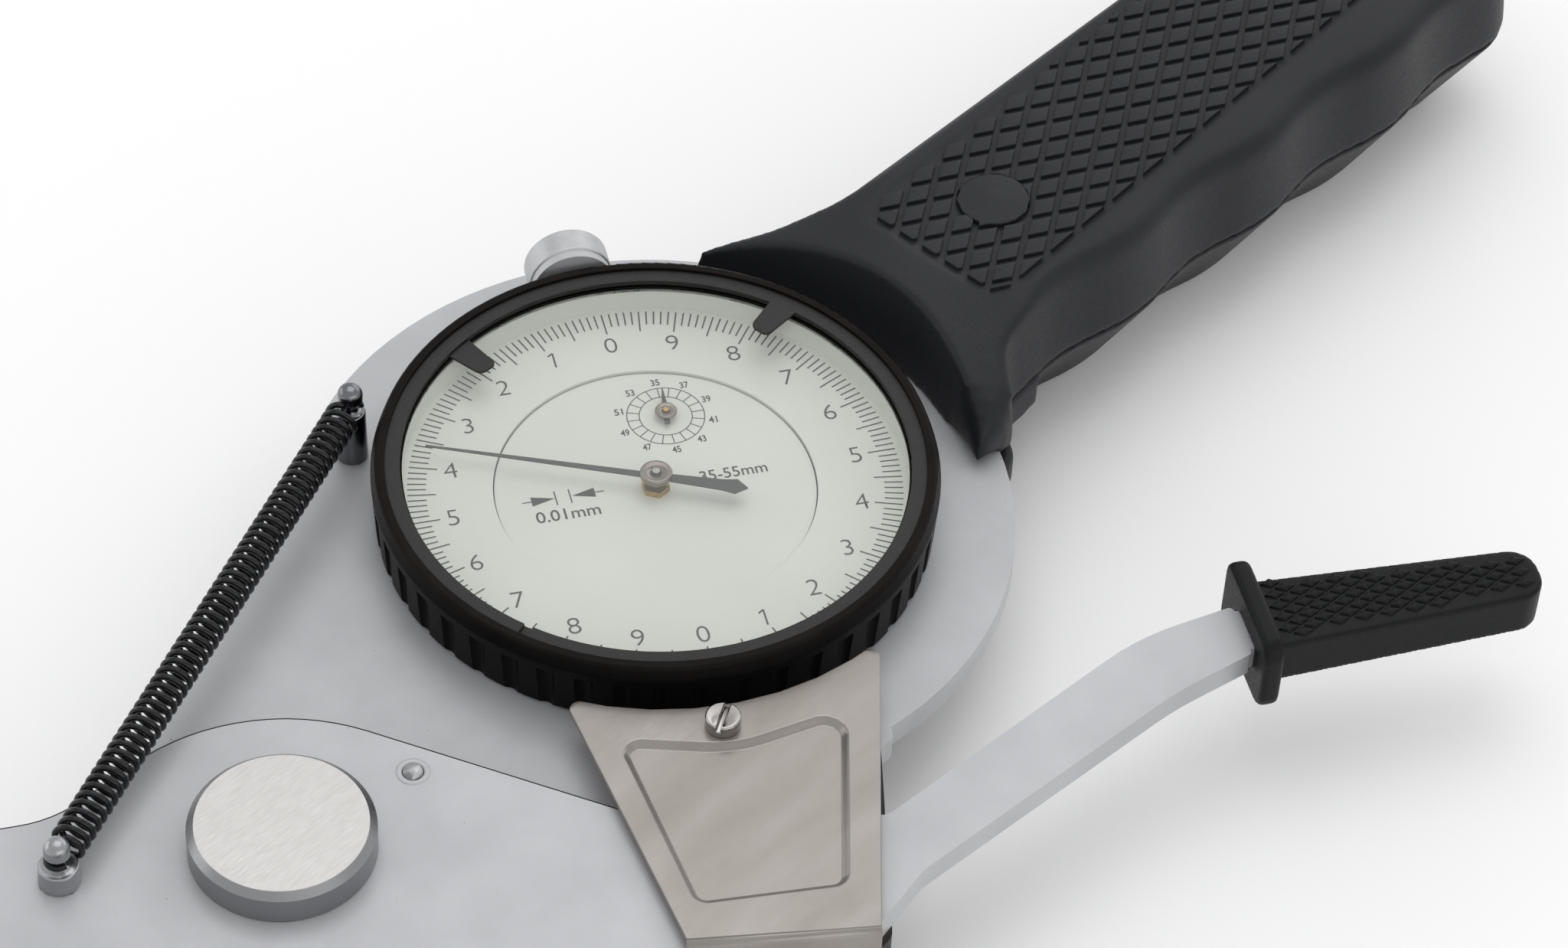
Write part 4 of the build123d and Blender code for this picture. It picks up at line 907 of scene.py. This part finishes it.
def trimmed(outline, start, end):
    """What is left of a convex outline on the left of a line."""
    kept = []
    for n, point in enumerate(outline):
        before = outline[n - 1]
        inside = (end - start).cross(point - start)
        inside_before = (end - start).cross(before - start)
        if inside * inside_before < 0:
            kept.append(before.lerp(point, inside_before / (inside_before - inside)))
        if inside >= 0:
            kept.append(point)
    return kept


def pad(mesh, outline, low, high, edge, crown):
    """A raised pad with upright sides, a small round at its edge and a crowned top."""
    middle = sum(outline, Vector((0, 0))) / len(outline)
    rings = []
    side = ((0.0, low), (0.0, high - edge), (edge * 0.4, high - edge * 0.25), (edge * 1.3, high))
    for inset, level in side:
        ring = []
        for point in outline:
            inward = middle - point
            ring.append(mesh.verts.new((*(point + inward.normalized() * inset), level)))
        rings.append(ring)
    for lower_ring, upper_ring in zip(rings, rings[1:]):
        for n in range(len(outline)):
            mesh.faces.new((lower_ring[n - 1], lower_ring[n], upper_ring[n], upper_ring[n - 1]))
    top = mesh.verts.new((*middle, high + crown))
    for n in range(len(outline)):
        mesh.faces.new((rings[-1][n - 1], rings[-1][n], top))


def divided(outline, steps):
    """An outline with points added along its sides."""
    return [
        outline[n - 1].lerp(outline[n], step / steps) for n in range(len(outline)) for step in range(steps)
    ]


pads = bmesh.new()
border = list(zip(PANEL, PANEL[1:] + PANEL[:1]))
for row in range(-40, 60):
    for column in range(-40, 60):
        centre = FIRST_PAD + row * PAD_ROW + column * PAD_COLUMN
        half_row, half_column = PAD_ROW * PAD_FILL / 2, PAD_COLUMN * PAD_FILL / 2
        shape = [
            centre - half_row - half_column,
            centre + half_row - half_column,
            centre + half_row + half_column,
            centre - half_row + half_column,
        ]
        for start, end in border:
            shape = trimmed(shape, start, end)
        if len(shape) < 3:
            continue
        shape = divided(shape, 4)
        for plug in PLUGS:
            for n, point in enumerate(shape):
                away = point - plug
                if away.length < PLUG_CLEARANCE:
                    shape[n] = plug + away.normalized() * PLUG_CLEARANCE
        area = sum(shape[n - 1].cross(shape[n]) for n in range(len(shape))) / 2
        if area > SMALLEST_PAD:
            pad(pads, shape, PANEL_FLOOR - SUNK, PAD_TOP, PAD_EDGE, PAD_CROWN)
handle_pads = piece("handle_pads", pads, black_nylon, "frame")
handle_pads.data.shade_smooth()
handle_pads.data.set_sharp_from_angle(angle=radians(CREASE))

# Lever grip: black nitrile rubber moulded over the lever's end, with a guard flange and small
# domed diamonds on its face for the finger. The rubber is the deepest black here, with a skin
# that shines a little where it's rubbed.
nitrile, _, _, _ = finish(
    "nitrile", ("#0B0C0D", "#111213"), 8.0, (0.38, 0.54), 0.25, 0.008, Specular_IOR_Level=0.18
)
dress(nitrile, "lever_grip")
mould("lever_grip", 0.28, 4)

GRIP_TOP = 17.8
STUD_STEP = (1.39, 0.80)
FIRST_STUD = (59.56, -33.89)
STUD_HALF = (1.12, 0.66)
STUD_PROUD = 0.26
STUD_EDGE = 0.2
STUD_CROWN = 0.2
GRIP_ZONE = [
    Vector((58.6, -34.9)),
    Vector((86.2, -33.4)),
    Vector((86.9, -32.9)),
    Vector((86.9, -30.5)),
    Vector((86.0, -29.6)),
    Vector((58.6, -27.3)),
]
studs = bmesh.new()
border = list(zip(GRIP_ZONE, GRIP_ZONE[1:] + GRIP_ZONE[:1]))
for row in range(-4, 46):
    for column in range(-12, 12):
        if (row + column) % 2:
            continue
        centre = Vector((FIRST_STUD[0] + row * STUD_STEP[0], FIRST_STUD[1] + column * STUD_STEP[1]))
        if any((end - start).cross(centre - start) < 0 for start, end in border):
            continue
        shape = [
            centre + Vector(p)
            for p in ((STUD_HALF[0], 0), (0, STUD_HALF[1]), (-STUD_HALF[0], 0), (0, -STUD_HALF[1]))
        ]
        outline = divided(shape, 3)
        pad(studs, outline, GRIP_TOP - SUNK, GRIP_TOP + STUD_PROUD, STUD_EDGE, STUD_CROWN)
studs.transform(Matrix.Rotation(radians(DIAL_TURN), 4, "Z"))
piece("grip_studs", studs, nitrile, "arm").data.shade_smooth()
